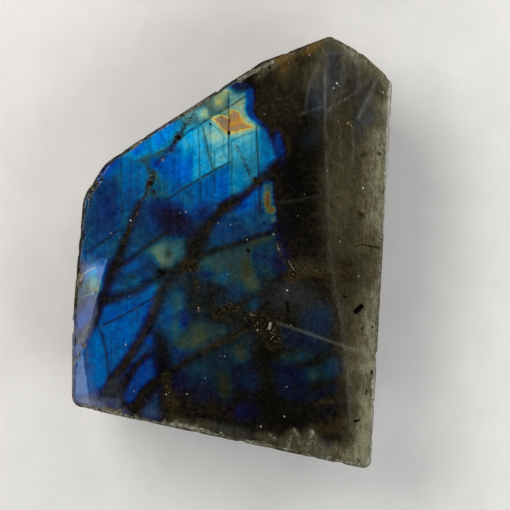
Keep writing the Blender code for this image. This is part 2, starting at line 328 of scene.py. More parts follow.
@dataclass(frozen=True)
class Schiller:
    """The colour flash of the polished face, as fields over it.

    The zones are laid over one another in order. Each pulls the spacing and the strength towards its own
    values by its mask. The bands then take their share of the strength.

    Attributes:
        zones: Patches where the flash has one spacing and one brightness, which is their strength.
        bands: Dark bands where the lamellae are broken.
        cracks: Cracks that are filled with crumbs.
        plain_spacing: Spacing where no zone is.
        edge_fringe: How far the spacing falls towards violet where the flash dies out.
    """

    zones: tuple[Glow | Pane, ...] = (
        # a faint haze over all of it
        Glow(-14, -2, 20, 16, 60, 0.21, 0.52),
        Pane((-18, 4, -2, 8, 10, 4, 12, -8, 8, -20, -4, -32, -16, -30, -16, -10), 0.02, 0.49, 8),
        Pane((8, -6, 24, -10, 25, -34, 10, -38, 4, -30), 0, 0.55, 8),
        # the wide blue field at the upper left, over the whole length of the stone
        Pane((-40, -2.4, -27.4, -1.8, -25.6, 0.8, -24.2, 4.2, -21.8, 8.2, -19.6, 11.2, -17.4, 12.4, -14.6,
            12.2, -12.4, 11.4, -10.2, 9, -7.8, 6.4, -5.4, 7.8, -2.8, 11, 1.2, 12.6, 4.2, 14.4, 6.6, 16.2,
            10.2, 20.4, 8.9, 23.2, 7.6, 26.6, 6.8, 28.4, 5.2, 29.5, 4.6, 31, 4.7, 33.6, 4.4, 36, 1.6, 37.6,
            -1, 40, -15, 34, -40, 20), 0.14, 0.55, 2.7),
        Pane((-40, -2.4, -27.6, -2, -25.4, 4, -24.8, 12, -25, 20.5, -40, 24), 0.13, 0.45, 2.3),
        Glow(-27.2, 9.5, 4.5, 3.2, 90, 0.16, 0.35), Glow(-27.4, 18.4, 3.4, 1.6, 35, 0.57, 0.26),
        Glow(-31, -0.4, 3.4, 1.4, 10, 0.24, 0.4), Glow(-27.6, 4.6, 2.6, 1.8, 30, 0.17, 0.4),
        Pane((-24.6, 21, -24.6, 11, -19.5, 12.5, -18.3, 19, -20.5, 19.5), 0.39, 0.39, 2.3),
        Glow(-22.2, 12.2, 3.4, 2, 80, 0.23, 0.39),
        Pane((-22, 23.4, -18.2, 21.6, -14, 24.4, -11.6, 26.2, -9.8, 28, -13, 30.4, -18, 27.6), 0.36, 0.45,
            1.9), Glow(-15.8, 25.4, 3.2, 1.5, 55, 1, 0.35), Glow(-14, 27.2, 2.2, 1.2, 30, 0.86, 0.39),
        Glow(-21, 22.4, 1.8, 1.4, 30, 0.9, 0.28),
        Pane((-16, 20.5, -15.5, 14, -13, 12.6, -8.6, 15.4, -8, 27.6, -11.6, 25, -13.6, 23.2), 0.4, 0.33, 1.5),
        Glow(-10.5, 18.5, 2.6, 2, 90, 1, 0.31), Glow(-10.2, 24, 3, 2, 50, 0.79, 0.52),
        Glow(-9, 25.8, 2.2, 0.9, 105, 0.91, 0.47), Glow(-12.6, 22.6, 1.6, 1.4, 0, 0.51, 0.35),
        Glow(-14.2, 19, 2, 1.8, 60, 0.62, 0.29), Glow(-16.9, 19.6, 1.1, 1, 0, 0.59, 0.21),
        Glow(-16, 14.6, 2.6, 1.6, 0, 0.18, 0.49),
        Pane((-8.6, 15.6, -4.4, 17.8, -5.6, 22, -6.6, 28.2, -8.2, 27.4), 0.63, 0.47, 1.5),
        Glow(-7.4, 25.5, 3, 0.9, 95, 1, 0.51),
        Pane((-6.6, 28.6, -4.2, 18.2, -0.6, 19.8, -0.7, 26.2, -4.6, 29.2), 0.73, 0.52, 1.5),
        Glow(-3.4, 25.6, 2.8, 2, 130, 1, 0.61), Glow(-2.6, 21.6, 1.8, 1.8, 0, 0.72, 0.54),
        Pane((-0.7, 26.2, -0.6, 12.6, 3.8, 14.4, 5.8, 16, 5.6, 27.2), 0.37, 0.51, 1.5),
        Glow(1.6, 23.6, 3, 2.4, 30, 0.78, 0.54), Glow(3, 25.6, 2.4, 1, 15, 0.89, 0.58),
        Glow(1.8, 16, 2.2, 2.2, 0, 0.41, 0.45),
        Pane((5.7, 27.4, 5.8, 16.2, 9.8, 20.2, 8.8, 23, 7.4, 27), 0.43, 0.42, 2.3),
        Pane((-14, 12.2, -8.5, 15.2, -0.6, 19.4, -0.6, 12.4, -3.2, 10.8, -5.8, 7.8, -8.2, 7.2, -10.4, 9.6),
            0.38, 0.36, 1.5), Glow(-10.2, 12, 2.4, 1.8, 90, 0.2, 0.45),
        Glow(-2.2, 14.4, 2.4, 1.6, 90, 0.66, 0.31), Glow(-6.2, 9, 1.8, 1.6, 30, 0.15, 0.32),
        # the patches along the upper edge
        Pane((-12.4, 30.4, -9.8, 28.2, -8, 29.4, -9, 32.4), 0.49, 0.58, 1.5),
        Glow(-9.2, 29.6, 1.2, 0.8, 35, 0.71, 0.56), Glow(-7.9, 30.8, 0.9, 0.9, 0, 0.52, 0.57),
        Glow(-6.3, 30.7, 1.2, 1.1, 40, 1, 0.65), Glow(-4.8, 32.3, 1, 0.9, 30, 0.15, 0.62),
        Glow(-2.9, 33.4, 1.6, 1.4, 100, 0.68, 0.73), Glow(-1.4, 35.5, 1.2, 1.1, 40, 0.82, 0.68),
        Pane((-0.5, 31.6, 2.9, 34.2, 2.6, 35.2, -0.4, 34.8), 0.45, 0.6, 0.8),
        Glow(1.8, 36.4, 2.4, 0.8, -10, 0.06, 0.38),
        # the golden star and its rings of colour
        Pane((2.8, 35.4, 2.9, 31.4, 3.6, 30, 5.4, 28.8, 6.9, 28.3, 5.4, 29.8, 4.9, 31.4, 5, 34.2, 4.3, 35.8),
            0.32, 0.28, 0.7),
        Pane((-5.4, 29.8, -4.4, 28.4, -0.8, 25.5, 2.2, 25.8, 6, 27.3, 4.7, 29.1, 3.3, 30.4, 2.7, 32.2, 2.7,
            33.9, -0.5, 32.6, -0.6, 31.4, -3, 30.4), 0.78, 0.64, 1),
        Pane((-4.8, 29.5, -0.8, 26, 2, 26.2, 5.6, 27.6, 3, 29.4, 1.9, 31.3, -0.4, 32, -0.6, 29.6, -2.6,
            30.2), 0.74, 0.66, 0.7),
        Pane((-4, 29.3, -0.8, 26.6, 1.9, 26.8, 4.8, 27.8, 2.4, 28.9, 1.3, 30.9, -0.3, 31.4, -0.6, 29.4, -2.5,
            29.9), 1, 0.96, 0.6), Pane((-3.4, 29.2, -1, 27.5, -0.7, 29.4, -2.4, 30.2), 1, 1, 0.7),
        Pane((-2.5, 30.8, -0.8, 29.6, -0.6, 31.9, -1.8, 31.6), 0.63, 0.66, 0.6),
        Glow(1.2, 28.9, 1.6, 0.7, 20, 0.93, 0.85), Glow(1.5, 32.6, 1.4, 0.9, 30, 0.6, 0.65),
        Pane((9.4, 27, 10.4, 26.4, 11.9, 22.8, 11.9, 20.2, 10.6, 18.6, 9.8, 21, 8.9, 24.4), 0.25, 0.3, 1.5),
        # below the first dark band, with the golden streak at its right end
        Pane((-5.2, 0.8, -4.4, 4.2, -3.4, 6.6, -1.2, 8.8, 1.4, 10.4, 3.6, 12.8, 5.4, 14.8, 6.6, 15.2, 7, 9.6,
            8.8, 6.2, 9.1, 4.7, 4.8, 3.5, 1, 2.3, -2, 1.2), 0.1, 0.45, 1.9),
        Glow(3, 10.6, 2.4, 1.8, 45, 0.52, 0.26), Glow(5, 13, 1.6, 1.2, 60, 0.48, 0.35),
        Glow(-1.8, 5, 2.4, 2.2, 30, 0.15, 0.41), Glow(4, 7.8, 2, 1.6, 0, 0.18, 0.45),
        Pane((6.8, 15.6, 6.7, 11, 7.4, 8.6, 8.6, 6.4, 9.6, 6.8, 9.5, 9, 9.1, 12, 8.9, 15.4), 0.18, 0.69, 0.9),
        Pane((7.2, 14.8, 7.1, 11, 7.9, 8.4, 8.8, 7, 9.3, 8, 9, 10.5, 8.5, 14.6), 0.12, 0.51, 0.8),
        Glow(7.9, 11.4, 1.9, 0.5, 92, 0.22, 0.99, 0.6), Glow(8.9, 9.2, 0.7, 0.5, 0, 0.19, 0.94),
        # the middle, left of the web of dark bands
        Pane((-20.5, 8, -17.5, 10, -15.6, 8.6, -14.8, 5, -17, 3.6, -20.4, 1.6, -22, 2.4, -21.6, 5.2), 0.08,
            0.45, 3), Glow(-20.4, 3.4, 2.2, 1.4, 30, 0.12, 0.46), Glow(-17.8, 6.4, 1.6, 1.6, 0, 0.18, 0.39),
        Glow(-12.6, 7.2, 4, 2.6, -30, 0.05, 0.25), Glow(-13, 3.4, 1.6, 1, 0, 0.09, 0.32),
        Pane((-18.6, 0.8, -16, -3.9, -13.4, -3.4, -11.4, -1.6, -10.4, 1.2, -11, 2.8, -14.6, 3.2), 0.12, 0.55,
            2.3), Pane((-17.9, 0.4, -15.9, -3.5, -13.6, -3, -13.2, 0.6, -15.4, 1.8), 0.27, 0.64, 1.9),
        Glow(-14.1, -0.6, 0.7, 1, 0, 0.04, 0.62), Glow(-11.8, 0.6, 1.4, 1.2, 90, 0.2, 0.56),
        Pane((-24, -1.8, -22, -0.4, -19.4, 0.4, -18.2, -1, -16.6, -4, -18.4, -5.6, -22.4, -6, -25, -5.4),
            0.16, 0.42, 2.3), Glow(-21.8, -2.6, 1.8, 1, 30, 0.29, 0.37),
        Glow(-18.2, -3, 1.2, 1.2, 0, 0.1, 0.44), Glow(-23.6, -6.2, 1.4, 1.2, 90, 0.11, 0.47),
        Glow(-22.1, -5.2, 0.8, 0.7, 0, 0.04, 0.52),
        Pane((-26.4, -7, -24.6, -6, -24, -9, -25.8, -9.8), 0.2, 0.44, 2.3),
        Glow(-19.2, -6.2, 1.4, 0.8, 30, 0.14, 0.4),
        # under the polished bevel at the left
        Glow(-30.6, -4.8, 2.6, 1.8, 60, 0.46, 0.43), Glow(-28.8, -4.6, 2.4, 1.2, 90, 0.51, 0.34),
        Glow(-32.2, -8, 2, 1.3, 70, 0.1, 0.64), Glow(-30.2, -8, 1.5, 1, 60, 0.22, 0.67),
        Glow(-30.5, -6.5, 1.3, 1, 70, 0.5, 0.6), Glow(-32.8, -14.6, 3, 1.6, 72, 0.45, 0.28),
        # the bright panes at the lower left
        Pane((-28.8, -12.4, -26.6, -11.4, -24.8, -10.7, -22.4, -10.6, -20.6, -9.2, -19.6, -7.4, -18.2, -7,
            -17.2, -8, -17, -9.8, -17.8, -13, -19, -16, -20.6, -18.8, -22.6, -22, -24.6, -25, -26.4, -27.6,
            -28.2, -30, -30.4, -31.8, -36, -33, -36, -22, -33.6, -20.6, -31, -17.4), 0.33, 0.36, 1.9),
        Glow(-23.8, -17, 3.6, 2.2, 75, 0.45, 0.33), Glow(-27, -13.2, 1.4, 1.4, 0, 0.49, 0.31),
        Glow(-22.6, -12.2, 2.4, 1.2, 20, 0.4, 0.32), Glow(-18.2, -8.8, 1.6, 1, 60, 0.32, 0.41),
        Glow(-21.6, -19.4, 2.6, 1.2, 60, 0.39, 0.33), Glow(-18.9, -13.2, 2.4, 0.9, 75, 0.36, 0.32),
        Glow(-29.6, -23.4, 3.6, 1.4, 88, 0.42, 0.37), Glow(-29.4, -28.4, 1.6, 1.6, 0, 0.39, 0.39),
        Pane((-19, -18.2, -16.8, -17.8, -16.8, -20.6, -18.2, -22.4, -19.6, -23.2, -21.8, -25, -23.6, -27.6,
            -25.2, -29.4, -24.4, -27, -22.6, -23.8, -20.8, -21), 0.15, 0.43, 1.7),
        Glow(-18.2, -19.8, 0.9, 0.9, 0, 0.5, 0.24),
        Pane((-17.8, -23.4, -16.9, -26.4, -18.4, -28.6, -20.4, -30.6, -22.2, -32.8, -23.2, -33.2, -24, -31.6,
            -23.4, -29.4, -22.2, -27.4, -20.6, -25.8), 0.26, 0.32, 1.7),
        Glow(-19.4, -26.4, 1.8, 1.4, 45, 0.36, 0.29), Glow(-22.4, -31.4, 1.4, 1, 45, 0.28, 0.29),
        Pane((-15.8, -30.4, -15.4, -37.4, -20.8, -36.8, -19.4, -33), 0.06, 0.46, 3),
        Glow(-26.6, -33.3, 1.5, 1, 20, 0.26, 0.14), Glow(-24.4, -35.4, 1.2, 0.9, 0, 0.15, 0.24),
        Glow(-28.8, -31.2, 1.4, 1.2, 0, 0.2, 0.3),
        # the column and the olive arm in the lower middle
        Pane((-16.2, -13.2, -13.2, -9.4, -11.4, -7.6, -9.8, -9.4, -10.6, -13, -10.8, -17.4, -12, -19.2,
            -15.6, -19.6, -16.6, -16.4), 0.09, 0.46, 2.7), Glow(-14.6, -14.4, 2, 1.2, 80, 0.24, 0.4),
        Glow(-11.9, -11, 1.8, 1, 80, 0.14, 0.57), Glow(-12.4, -16.8, 1.8, 1, 90, 0.12, 0.54),
        Glow(-10.8, -15, 1.6, 1, 90, 0.18, 0.29),
        Pane((-12.2, -19.2, -9.2, -17.2, -7.2, -15.2, -5, -15.8, -3.8, -18.2, -6, -19.9, -9, -21.7, -11.8,
            -22), 0.07, 0.63, 2.7), Glow(-7.4, -18.6, 1.8, 0.8, 20, 0.08, 0.69),
        Glow(-5.4, -17.2, 1.2, 1.2, 0, 0.04, 0.59), Glow(-2.4, -17.4, 1, 1.1, 0, 0.06, 0.58),
        Pane((-13.2, -20.8, -10.8, -21.8, -8.8, -22, -10.8, -24.2, -13, -23.8), 0.11, 0.38, 2.3),
        Pane((-10.6, -25.4, -6.2, -24.6, -5.8, -26.8, -8, -28.6, -9.4, -29.2, -13, -29.6, -13, -27), 0.04,
            0.46, 2.7), Glow(-7, -25.8, 1, 0.9, 0, 0.05, 0.54), Glow(-11.4, -28.2, 1.6, 1.4, 0, 0.06, 0.22),
        Glow(-6.4, -31.4, 2.4, 1.6, 90, 0.03, 0.37), Glow(-1.6, -30, 3, 1.8, 90, 0.02, 0.73),
        Glow(1.8, -22.4, 1.8, 1.6, 90, 0.05, 0.66), Glow(-2.4, -24, 2.2, 1.4, 20, 0.03, 0.46),
        Glow(3.2, -28, 3, 2.6, 90, 0.03, 0.45), Glow(2.6, -35.6, 2.6, 2.2, 0, 0.15, 0.2),
        # the middle, right of the web
        Pane((-7.6, -1.8, -3.6, -0.2, 3.6, 1, 4.6, -0.2, 5.4, -4.6, 5.6, -8, 3.6, -9, 0.2, -7, -2.4, -6.6,
            -7, -5.6), 0.06, 0.59, 2.7), Glow(-5.2, -2.6, 2, 1.2, 15, 0.1, 0.57),
        Glow(3.6, -3.4, 2.6, 1.2, 95, 0.05, 0.69), Glow(4.4, -6.8, 1.4, 1.2, 90, 0.09, 0.67),
        Glow(-2, -5.2, 1.6, 1.4, 40, 0.11, 0.48), Glow(-5.8, -4.8, 1.6, 1, 0, 0.09, 0.37),
        Glow(1.2, -8.6, 1.6, 1.4, 0, 0.07, 0.44), Glow(5.2, -11.4, 1.2, 1, 90, 0.11, 0.48),
        Pane((4.6, 0.8, 9.8, 2.4, 11.6, -0.4, 12, -3.4, 9, -5, 6.4, -6, 5.2, -3), 0.05, 0.5, 3),
        Glow(6.2, -0.8, 1.4, 1.4, 0, 0.07, 0.43), Glow(10.8, -1.8, 1.8, 1.6, 0, 0.1, 0.24),
        Pane((2.6, 0.6, 9.4, 2.8, 9.4, 3.9, 4, 2.4), 0.06, 0.65, 1.5),
        # the dim lower right
        Glow(13, -9.6, 4.6, 2.4, 10, 0.01, 0.23), Glow(18.6, -15.6, 3.4, 3.2, 60, 0.035, 0.42),
        Pane((11, -16.6, 17, -19, 22, -21, 18, -22.2, 12, -20.4), 0.03, 0.39, 3),
        Glow(12.6, -23.6, 1.8, 1.2, 0, 0.03, 0.53), Glow(16, -23.2, 1.6, 1, 0, 0.05, 0.52),
        Glow(21.8, -25.2, 2.4, 2, 60, 0.05, 0.45),
        Pane((8.6, -24.6, 14, -25, 17, -25.6, 15.6, -28.6, 12.6, -32, 10.6, -31, 8.8, -28), 0.03, 0.36, 2.7),
        Glow(17.6, -26.8, 1.8, 1.4, 20, 0.05, 0.58), Glow(15.2, -27.2, 1.4, 1.2, 0, 0.03, 0.4),
        Glow(15, -31.4, 2.6, 1.4, 50, 0.02, 0.4), Glow(13.4, -33.8, 1.4, 1, 0, 0, 0.36),
        Glow(20.2, -31, 3, 1.2, 25, 0.03, 0.33), Glow(21.4, -34.6, 2.8, 1.6, 20, 0.01, 0.32),
    )
    bands: tuple[Band, ...] = many(
        Band,
        ((11.2, 20.4, 8.2, 18.2, 6.4, 16.6, 3.2, 13.4, 0.6, 11.8, -2.2, 9.8), 1.5, 0.87, 1.8),
        ((1, 11.2, -1.4, 10, -3, 8.6), 1.6, 0.81, 2.1),
        ((-2.2, 9.8, -5.2, 5.6, -6.6, 2.4, -8.8, -1, -13, -5.4, -15.9, -9.4, -17.8, -14.8, -20.4, -19.6,
            -23.8, -25, -27.7, -31.2), 2.3, 0.91, 2), ((-5.6, 6.2, -7.6, 3.6, -9.4, 1), 2.6, 0.81, 3),
        ((-20.6, 10.4, -22.3, 6.6, -23.6, 2.8, -25.4, -2, -27.4, -6.6, -28.6, -10.8, -30.4, -15.2, -32.6,
            -19.4), 1.7, 0.85, 1.8), ((-24.4, 1.6, -24.6, -2, -26.6, -6), 2.6, 0.81, 2.4),
        ((-14, 4.6, -16.8, 2.8, -20, 0.6, -23, -1.8, -26, -3.6), 0.9, 0.81, 1.2),
        ((-15, -5, -18.4, -6.8, -21.6, -8.4, -25.4, -9.8, -27.6, -10.6), 1.7, 0.84, 2.1),
        ((10, 4.6, 5, 3.1, 1.6, 2.1, -1.6, 0.8, -4.8, -0.2, -8.8, -1.2), 0.9, 0.81, 1.4),
        ((-8.6, -1.4, -11, -3.2, -14.4, -4.2, -16.4, -4.4), 2.2, 0.71, 2.7),
        ((6.6, -15.2, 2, -17.6, -1.4, -19.4, -4.6, -21, -8.8, -23.2, -12.6, -26.2, -17, -29, -19.6, -31,
            -21.4, -34.6), 1.8, 0.89, 2), ((-18.8, -22.8, -21, -25, -23.2, -28.6), 0.8, 0.76, 1.2),
        ((-16.1, -18.6, -15.6, -22.7, -15, -26.5, -14.4, -32, -13.6, -38), 3, 0.91, 2.7),
        ((6.9, -12, 7.4, -16, 6.6, -20.3, 7.4, -26, 9, -31, 8, -35), 2.8, 0.87, 3.3),
        ((-4, -8.4, -5.4, -11, -3.4, -13.4, 2, -14.4, 7, -15), 3, 0.84, 3.3),
        ((11.8, -5, 8, -8.4, 3.6, -10.2, 1.4, -12), 1.4, 0.71, 2.4),
        ((-8, -3.6, -8.4, -7.6, -9, -11), 2.2, 0.57, 3),
        ((24, -21.8, 19.6, -23.8, 15.6, -25.4), 1.2, 0.66, 2.1),
        ((26, -27.4, 20.6, -29.4, 18, -30.6), 1.2, 0.57, 2.1),
        ((25, -31.4, 20.4, -33, 17, -35.2, 6, -40), 1.6, 0.71, 2.7), ((-35.9, -12, -35.8, -34), 2, 0.8, 1.2),
        ((-31, -31.9, -27.4, -32), 1, 0.55, 2), ((-4.6, -14.9, 1, -15.4, 4.6, -17.4), 1.4, 0.62, 2.4),
        ((-0.4, -19.2, 2, -20.6), 1.6, 0.5, 2.2),
    )
    cracks: tuple[Band, ...] = many(
        Band,
        ((-8.6, 30, -10.4, 28, -11.9, 25.4), 1.6, 0.46, 1.5), ((-8.8, 30, -12.8, 28.8), 2.4, 0.36, 1.8),
        ((-11.7, 25.8, -12.6, 24.6), 1.1, 0.76, 0.9), ((-12.4, 24.6, -13.6, 23), 1.6, 0.46, 1.5),
        ((-13, 22.6, -15.6, 21.6), 2, 0.36, 1.6), ((-15, 20.8, -16.2, 19.8), 1, 0.46, 1.1),
        ((-19.4, 20.4, -18.2, 17.6), 1.1, 0.44, 1.2), ((-17, 17.6, -18.3, 15.2), 1.6, 0.54, 1.3),
        ((-18.3, 15, -19.4, 12.2), 1.4, 0.48, 1.3), ((-17.9, 14.2, -17, 12.4), 1.3, 0.5, 1.2),
        ((-20, 11.4, -21.4, 8, -22.6, 5, -23.8, 2.4), 1.4, 0.48, 1.5),
        ((1.2, 23.4, 1.8, 22, 2.6, 20.2, 3.6, 18.4, 4.5, 16.4, 5.4, 15.4), 1.1, 0.5, 1.1),
        ((7, 16.4, 5.4, 15.4, 3.4, 13.6), 1.2, 0.56, 1.2), ((0.2, 10.2, -1.6, 9.4), 1.2, 0.5, 1.2),
        ((-4.9, 6.6, -5.4, 5), 1.3, 0.46, 1.2), ((-8.2, -2.6, -10.4, -3.8), 2, 0.76, 1.5),
        ((-8.2, -6.2, -7.4, -8.8), 1.2, 0.62, 1.3), ((6.4, -14.6, 8.8, -16.8, 8.8, -19.8), 3, 0.9, 2.6),
        ((5, -14.6, 6.2, -17.4), 1.4, 0.74, 1.5),
        ((-4.2, -12.9, -1.8, -12.9, 0.2, -12, 1.6, -12.8), 1.6, 0.84, 1.6),
        ((-3.6, -14.2, -1.8, -14), 1.2, 0.66, 1.2), ((4, -13.8, 5, -14.2), 1, 0.74, 1),
        ((-8, -11.6, -7.2, -13.2), 1.1, 0.72, 1.1), ((-14.6, -27, -14.2, -33.8), 1.6, 0.56, 1.7),
        ((10, 1.8, 10.6, -0.2, 12.8, -3.4, 13.6, -4.8), 1, 0.66, 1.2),
        ((13.6, -4.2, 16.6, -3.4, 19.4, -4.4, 22.4, -5.4), 2.6, 0.5, 2.6),
        ((4, 39.4, 5.6, 38.8, 7.4, 36), 2, 0.46, 2), ((10.6, 27, 12.4, 24.6, 12.6, 21.4), 1.2, 0.5, 1.4),
        ((25, 28.8, 26.5, 28.2), 1.5, 0.5, 1.2), ((28.1, 8.4, 28.6, 8.2), 0.9, 0.7, 0.8),
        ((-4.8, 29.4, -5, 31.2), 0.8, 0.42, 0.9),
    )
    plain_spacing: float = 0.10
    edge_fringe: float = 0.13

    def flash(self, places: Array) -> tuple[Array, Array]:
        """Spacing and strength of the flash at each place.

        Args:
            places: Points of the face, one row of x and y each, in millimetres.

        Returns:
            The spacing and the strength, one value a point, each from 0 to 1.
        """
        spots = wandered(places, size=6.0, reach=0.5, seed=3)
        spacing, strength = np.full(len(spots), self.plain_spacing), np.zeros(len(spots))
        for zone in self.zones:
            share = zone.mask(spots)
            spacing += share * (zone.spacing - spacing)
            strength += share * (zone.strength - strength)
        strength *= 1.0 - gathered(self.bands, spots)
        spacing -= self.edge_fringe * ease(0.40, 0.0, strength) * ease(0.55, 0.35, spacing)
        return np.clip(spacing, 0.0, 1.0), strength

    def crumbs(self, places: Array) -> Array:
        """How crumbly each place is, from the cracks that run across the face."""
        return gathered(self.cracks, wandered(places, size=2.4, reach=0.45, seed=13))


@dataclass(frozen=True)
class Clouding:
    """What lies under and beside the flash, as fields over the face: a pale veil that is milkiness with
    painted sheen, stain, slate, a pale blue sheen painted on the bevel, and the worn edges.

    Attributes:
        crease_line: The long crease, where the pale veil of milkiness and painted sheen begins, x and y by
            turns, in millimetres.
        right_rim: The rim that the veil follows, in the same way.
        crease_step: Veil past the crease.
        foot_step: What the lower end has more of it.
        frost_and_sheen: Veil, milkiness with painted sheen, that comes to that along the rim.
        frost_and_sheen_reach: How far in from the rim this reaches.
        creases: Pale scratches and creases.
        clouds: Pale patches of the veil.
        clears: Patches where the veil is thin.
        earth: Patches of rust and olive stain.
        slate: Cool grey patches.
        voids: Patches where the body is nearly black.
        painted_sheen: Pale blue sheen painted on the polished bevel at the left, a painted reflection of the
            lights, and a faint cool painted sheen at the upper right.
        crust: Worn and powdery places, mostly along the rims.
    """

    crease_line: Path = (
        26.3, -39.6, 25.4, -26.7, 24.2, -15.4, 22.8, -8, 21.6, -1, 21.3, 12, 20.7, 24, 20.3, 45.4)
    right_rim: Path = (31.2, -47, 32.2, -20, 33.4, 0, 34, 10, 35, 25, 35.4, 37, 33.6, 41.2, 24, 47.6)
    crease_step: float = 0.21
    foot_step: float = 0.16
    frost_and_sheen: float = 0.62
    frost_and_sheen_reach: float = 7.5
    creases: tuple[Band, ...] = many(
        Band,
        ((20.3, 45.4, 20.6, 34.2, 20.7, 24, 21.3, 12, 21.6, -1, 22.8, -8, 24.2, -15.4, 25.4, -26.7, 26.3,
            -39.6), 0.3, 0.13, 0.9), ((20.5, 40, 20.6, 30.8), 0.4, 0.24, 0.7),
        ((19.6, 43.6, 19, 41, 17.6, 38.6, 16.6, 35, 16.2, 31), 0.4, 0.16, 0.7),
        ((21.2, 45, 21, 41, 21.4, 37), 0.3, 0.12, 0.6), ((20.4, 43.9, 25.4, 44), 0.3, 0.18, 0.5),
        ((21.4, 31, 23.4, 35, 24.6, 41), 0.3, 0.15, 0.6), ((21, 31.4, 26, 34.4, 31.4, 38.8), 0.3, 0.17, 0.6),
        ((25.2, 45.6, 24.8, 38, 23.8, 33), 0.5, 0.12, 0.9), ((26.4, 44.6, 28, 40, 27.6, 35), 0.4, 0.1, 0.9),
        ((11, 11, 15, 11.6, 20.6, 12.8), 0.3, 0.07, 0.6), ((29.4, -8, 30.4, -20, 29.2, -32), 0.6, 0.08, 1.2),
        ((10, -15.6, 17.7, -18.2, 23.1, -20.2, 29.8, -22.3), 0.35, 0.24, 0.7),
        ((32.1, 38.4, 30.1, 34, 27.9, 29.7), 0.6, 0.28, 0.9), ((29.8, 37.9, 24.1, 35.2), 0.4, 0.08, 0.9),
        ((26.6, 27.8, 26.8, 20.4), 0.4, 0.18, 0.6), ((23.8, 26.2, 24, 20.4), 0.3, 0.14, 0.6),
        ((15, 30.4, 19.8, 32.2), 0.3, 0.15, 0.5), ((24.6, -12, 26.6, -34), 0.5, 0.08, 1.6),
    )
    clouds: tuple[Glow | Pane, ...] = (
        Pane((9.4, -43.6, 11.6, -40.6, 13.4, -39.2, 15.4, -40.6, 17.6, -38.4, 19.4, -40.8, 20.8, -45.6), 0.3,
            0, 2.6),
        *many(
            Glow,
            (24, -44.6, 4.2, 1.8, -12, 0.5), (31.8, -10.4, 4, 1, 92, 0.4), (29.4, -43, 4.6, 2.2, 88, 0.36),
            (30.8, 15, 9, 2.2, 92, 0.14), (18.6, 40, 4, 2.2, 65, 0.22), (19.6, 45.4, 3.4, 1.4, 10, 0.14),
            (17, -3.2, 3.4, 1.4, -10, 0.12), (8, -40.8, 2.6, 1, -10, 0.22), (0.6, -40.4, 3.4, 1.2, -14, 0.14),
            (-8, -38, 4.4, 1, -12, 0.2), (-3.4, 32.9, 2.2, 1.2, 30, 0.45), (-6.8, 32, 1.8, 0.7, 32, 0.35),
            (14, -10, 4.6, 3, 0, 0.05), (12.4, 37.4, 9, 4.6, 62, 0.06), (25.4, 11, 8, 2.8, 92, 0.1),
            (25.4, 41.6, 2.4, 1.8, 90, 0.12), (30.2, 16, 2.8, 1.8, 90, 0.18), (30.4, -44.4, 2.6, 2.4, 0, 0.8),
            (30.2, -39.4, 2.2, 2.2, 0, 0.36), (8.2, 41, 1.9, 0.9, 28, 0.46), (6.4, 39.2, 1.4, 0.8, 40, 0.2),
            (13.4, 43.4, 1.8, 0.5, 28, 0.22),
        ),
    )
    clears: tuple[Glow, ...] = many(
        Glow,
        (27.4, 35.6, 6, 3.4, 100, 0.45), (22.4, 40.8, 4.8, 1.4, 92, 0.68), (32.4, 36.4, 2.6, 1.6, 90, 0.55),
        (26.4, -38, 4, 1.6, 92, 0.34), (25.4, -4.6, 4, 2.6, 95, 0.86), (30.6, -4.6, 8, 2.4, 90, 0.52),
        (25.4, -31.4, 4.6, 2.2, 90, 0.52), (30, -29, 2.2, 1.8, 90, 0.42), (30.4, 36.4, 2.4, 2, 90, 0.3),
        (25.4, 27, 4, 2.2, 90, 0.2), (20, 31, 1.8, 1.8, 90, 0.4), (19.6, 22.6, 3.2, 1.6, 90, 0.55),
        (30.4, 29.4, 3, 2.4, 20, 0.45), (26.4, 5, 3, 2, 90, 0.35), (30.4, -0.4, 3, 1.6, 90, 0.25),
    )
    earth: tuple[Glow, ...] = many(
        Glow,
        (11.4, 40.3, 3, 2, 60, 0.78), (16, 43.5, 3, 1.4, 24, 0.74), (11.2, 43, 3, 1, 24, 0.94),
        (18, 45.5, 3, 1.2, 22, 0.95), (12.4, 33, 4.4, 3, 60, 0.26), (23.2, 27, 8, 1.8, 92, 0.36),
        (18, -4.6, 7, 1.8, 0, 0.55), (13.2, -5.8, 2, 1.6, 40, 0.55), (25.4, -6, 6, 2.4, 95, 0.36),
        (22.6, -38.4, 5.6, 2.2, 20, 0.55), (21, -33, 4.6, 0.9, 22, 0.5), (-13, -33.4, 3.6, 1.8, 90, 0.55),
        (-5, -20.8, 6, 1, 25, 0.4), (-9.6, -2.6, 2.2, 1.6, -30, 0.55), (-17.2, -12, 5, 1.1, 70, 0.54),
        (-21.6, -21.2, 4.4, 0.9, 58, 0.48), (8.7, 7.2, 1.2, 0.6, 115, 0.5), (28.3, 8.4, 1, 0.7, 0, 0.95),
        (25.8, 28.5, 1.4, 1, 0, 0.99), (28.3, 8.3, 0.8, 0.6, 0, 0.95), (28.8, 1.4, 2.8, 0.5, 0, 0.85),
        (0.8, -18, 7, 4, 20, 0.25),
    )
    slate: tuple[Glow, ...] = many(
        Glow,
        (18.4, 34.4, 3.4, 1.4, 88, 0.6), (22.2, 40.8, 4.6, 1.3, 92, 0.6), (17.6, 25.4, 2.2, 1.6, 60, 0.3),
        (30.4, 29.4, 2.4, 1, 15, 0.55), (28.4, 27, 1, 2, 0, 0.35), (18.8, -14.6, 4.2, 2.6, 80, 0.22),
        (12.6, -9.4, 4.2, 2, 10, 0.35), (29.6, -26.6, 1.8, 1.4, 90, 0.45), (19.6, -43, 2.6, 1.6, -20, 0.55),
        (-12, -5.6, 3.6, 1.4, 35, 0.3), (-1, -1.4, 4, 1.6, 15, 0.3), (0, -39.6, 4, 1.4, -15, 0.3),
    )
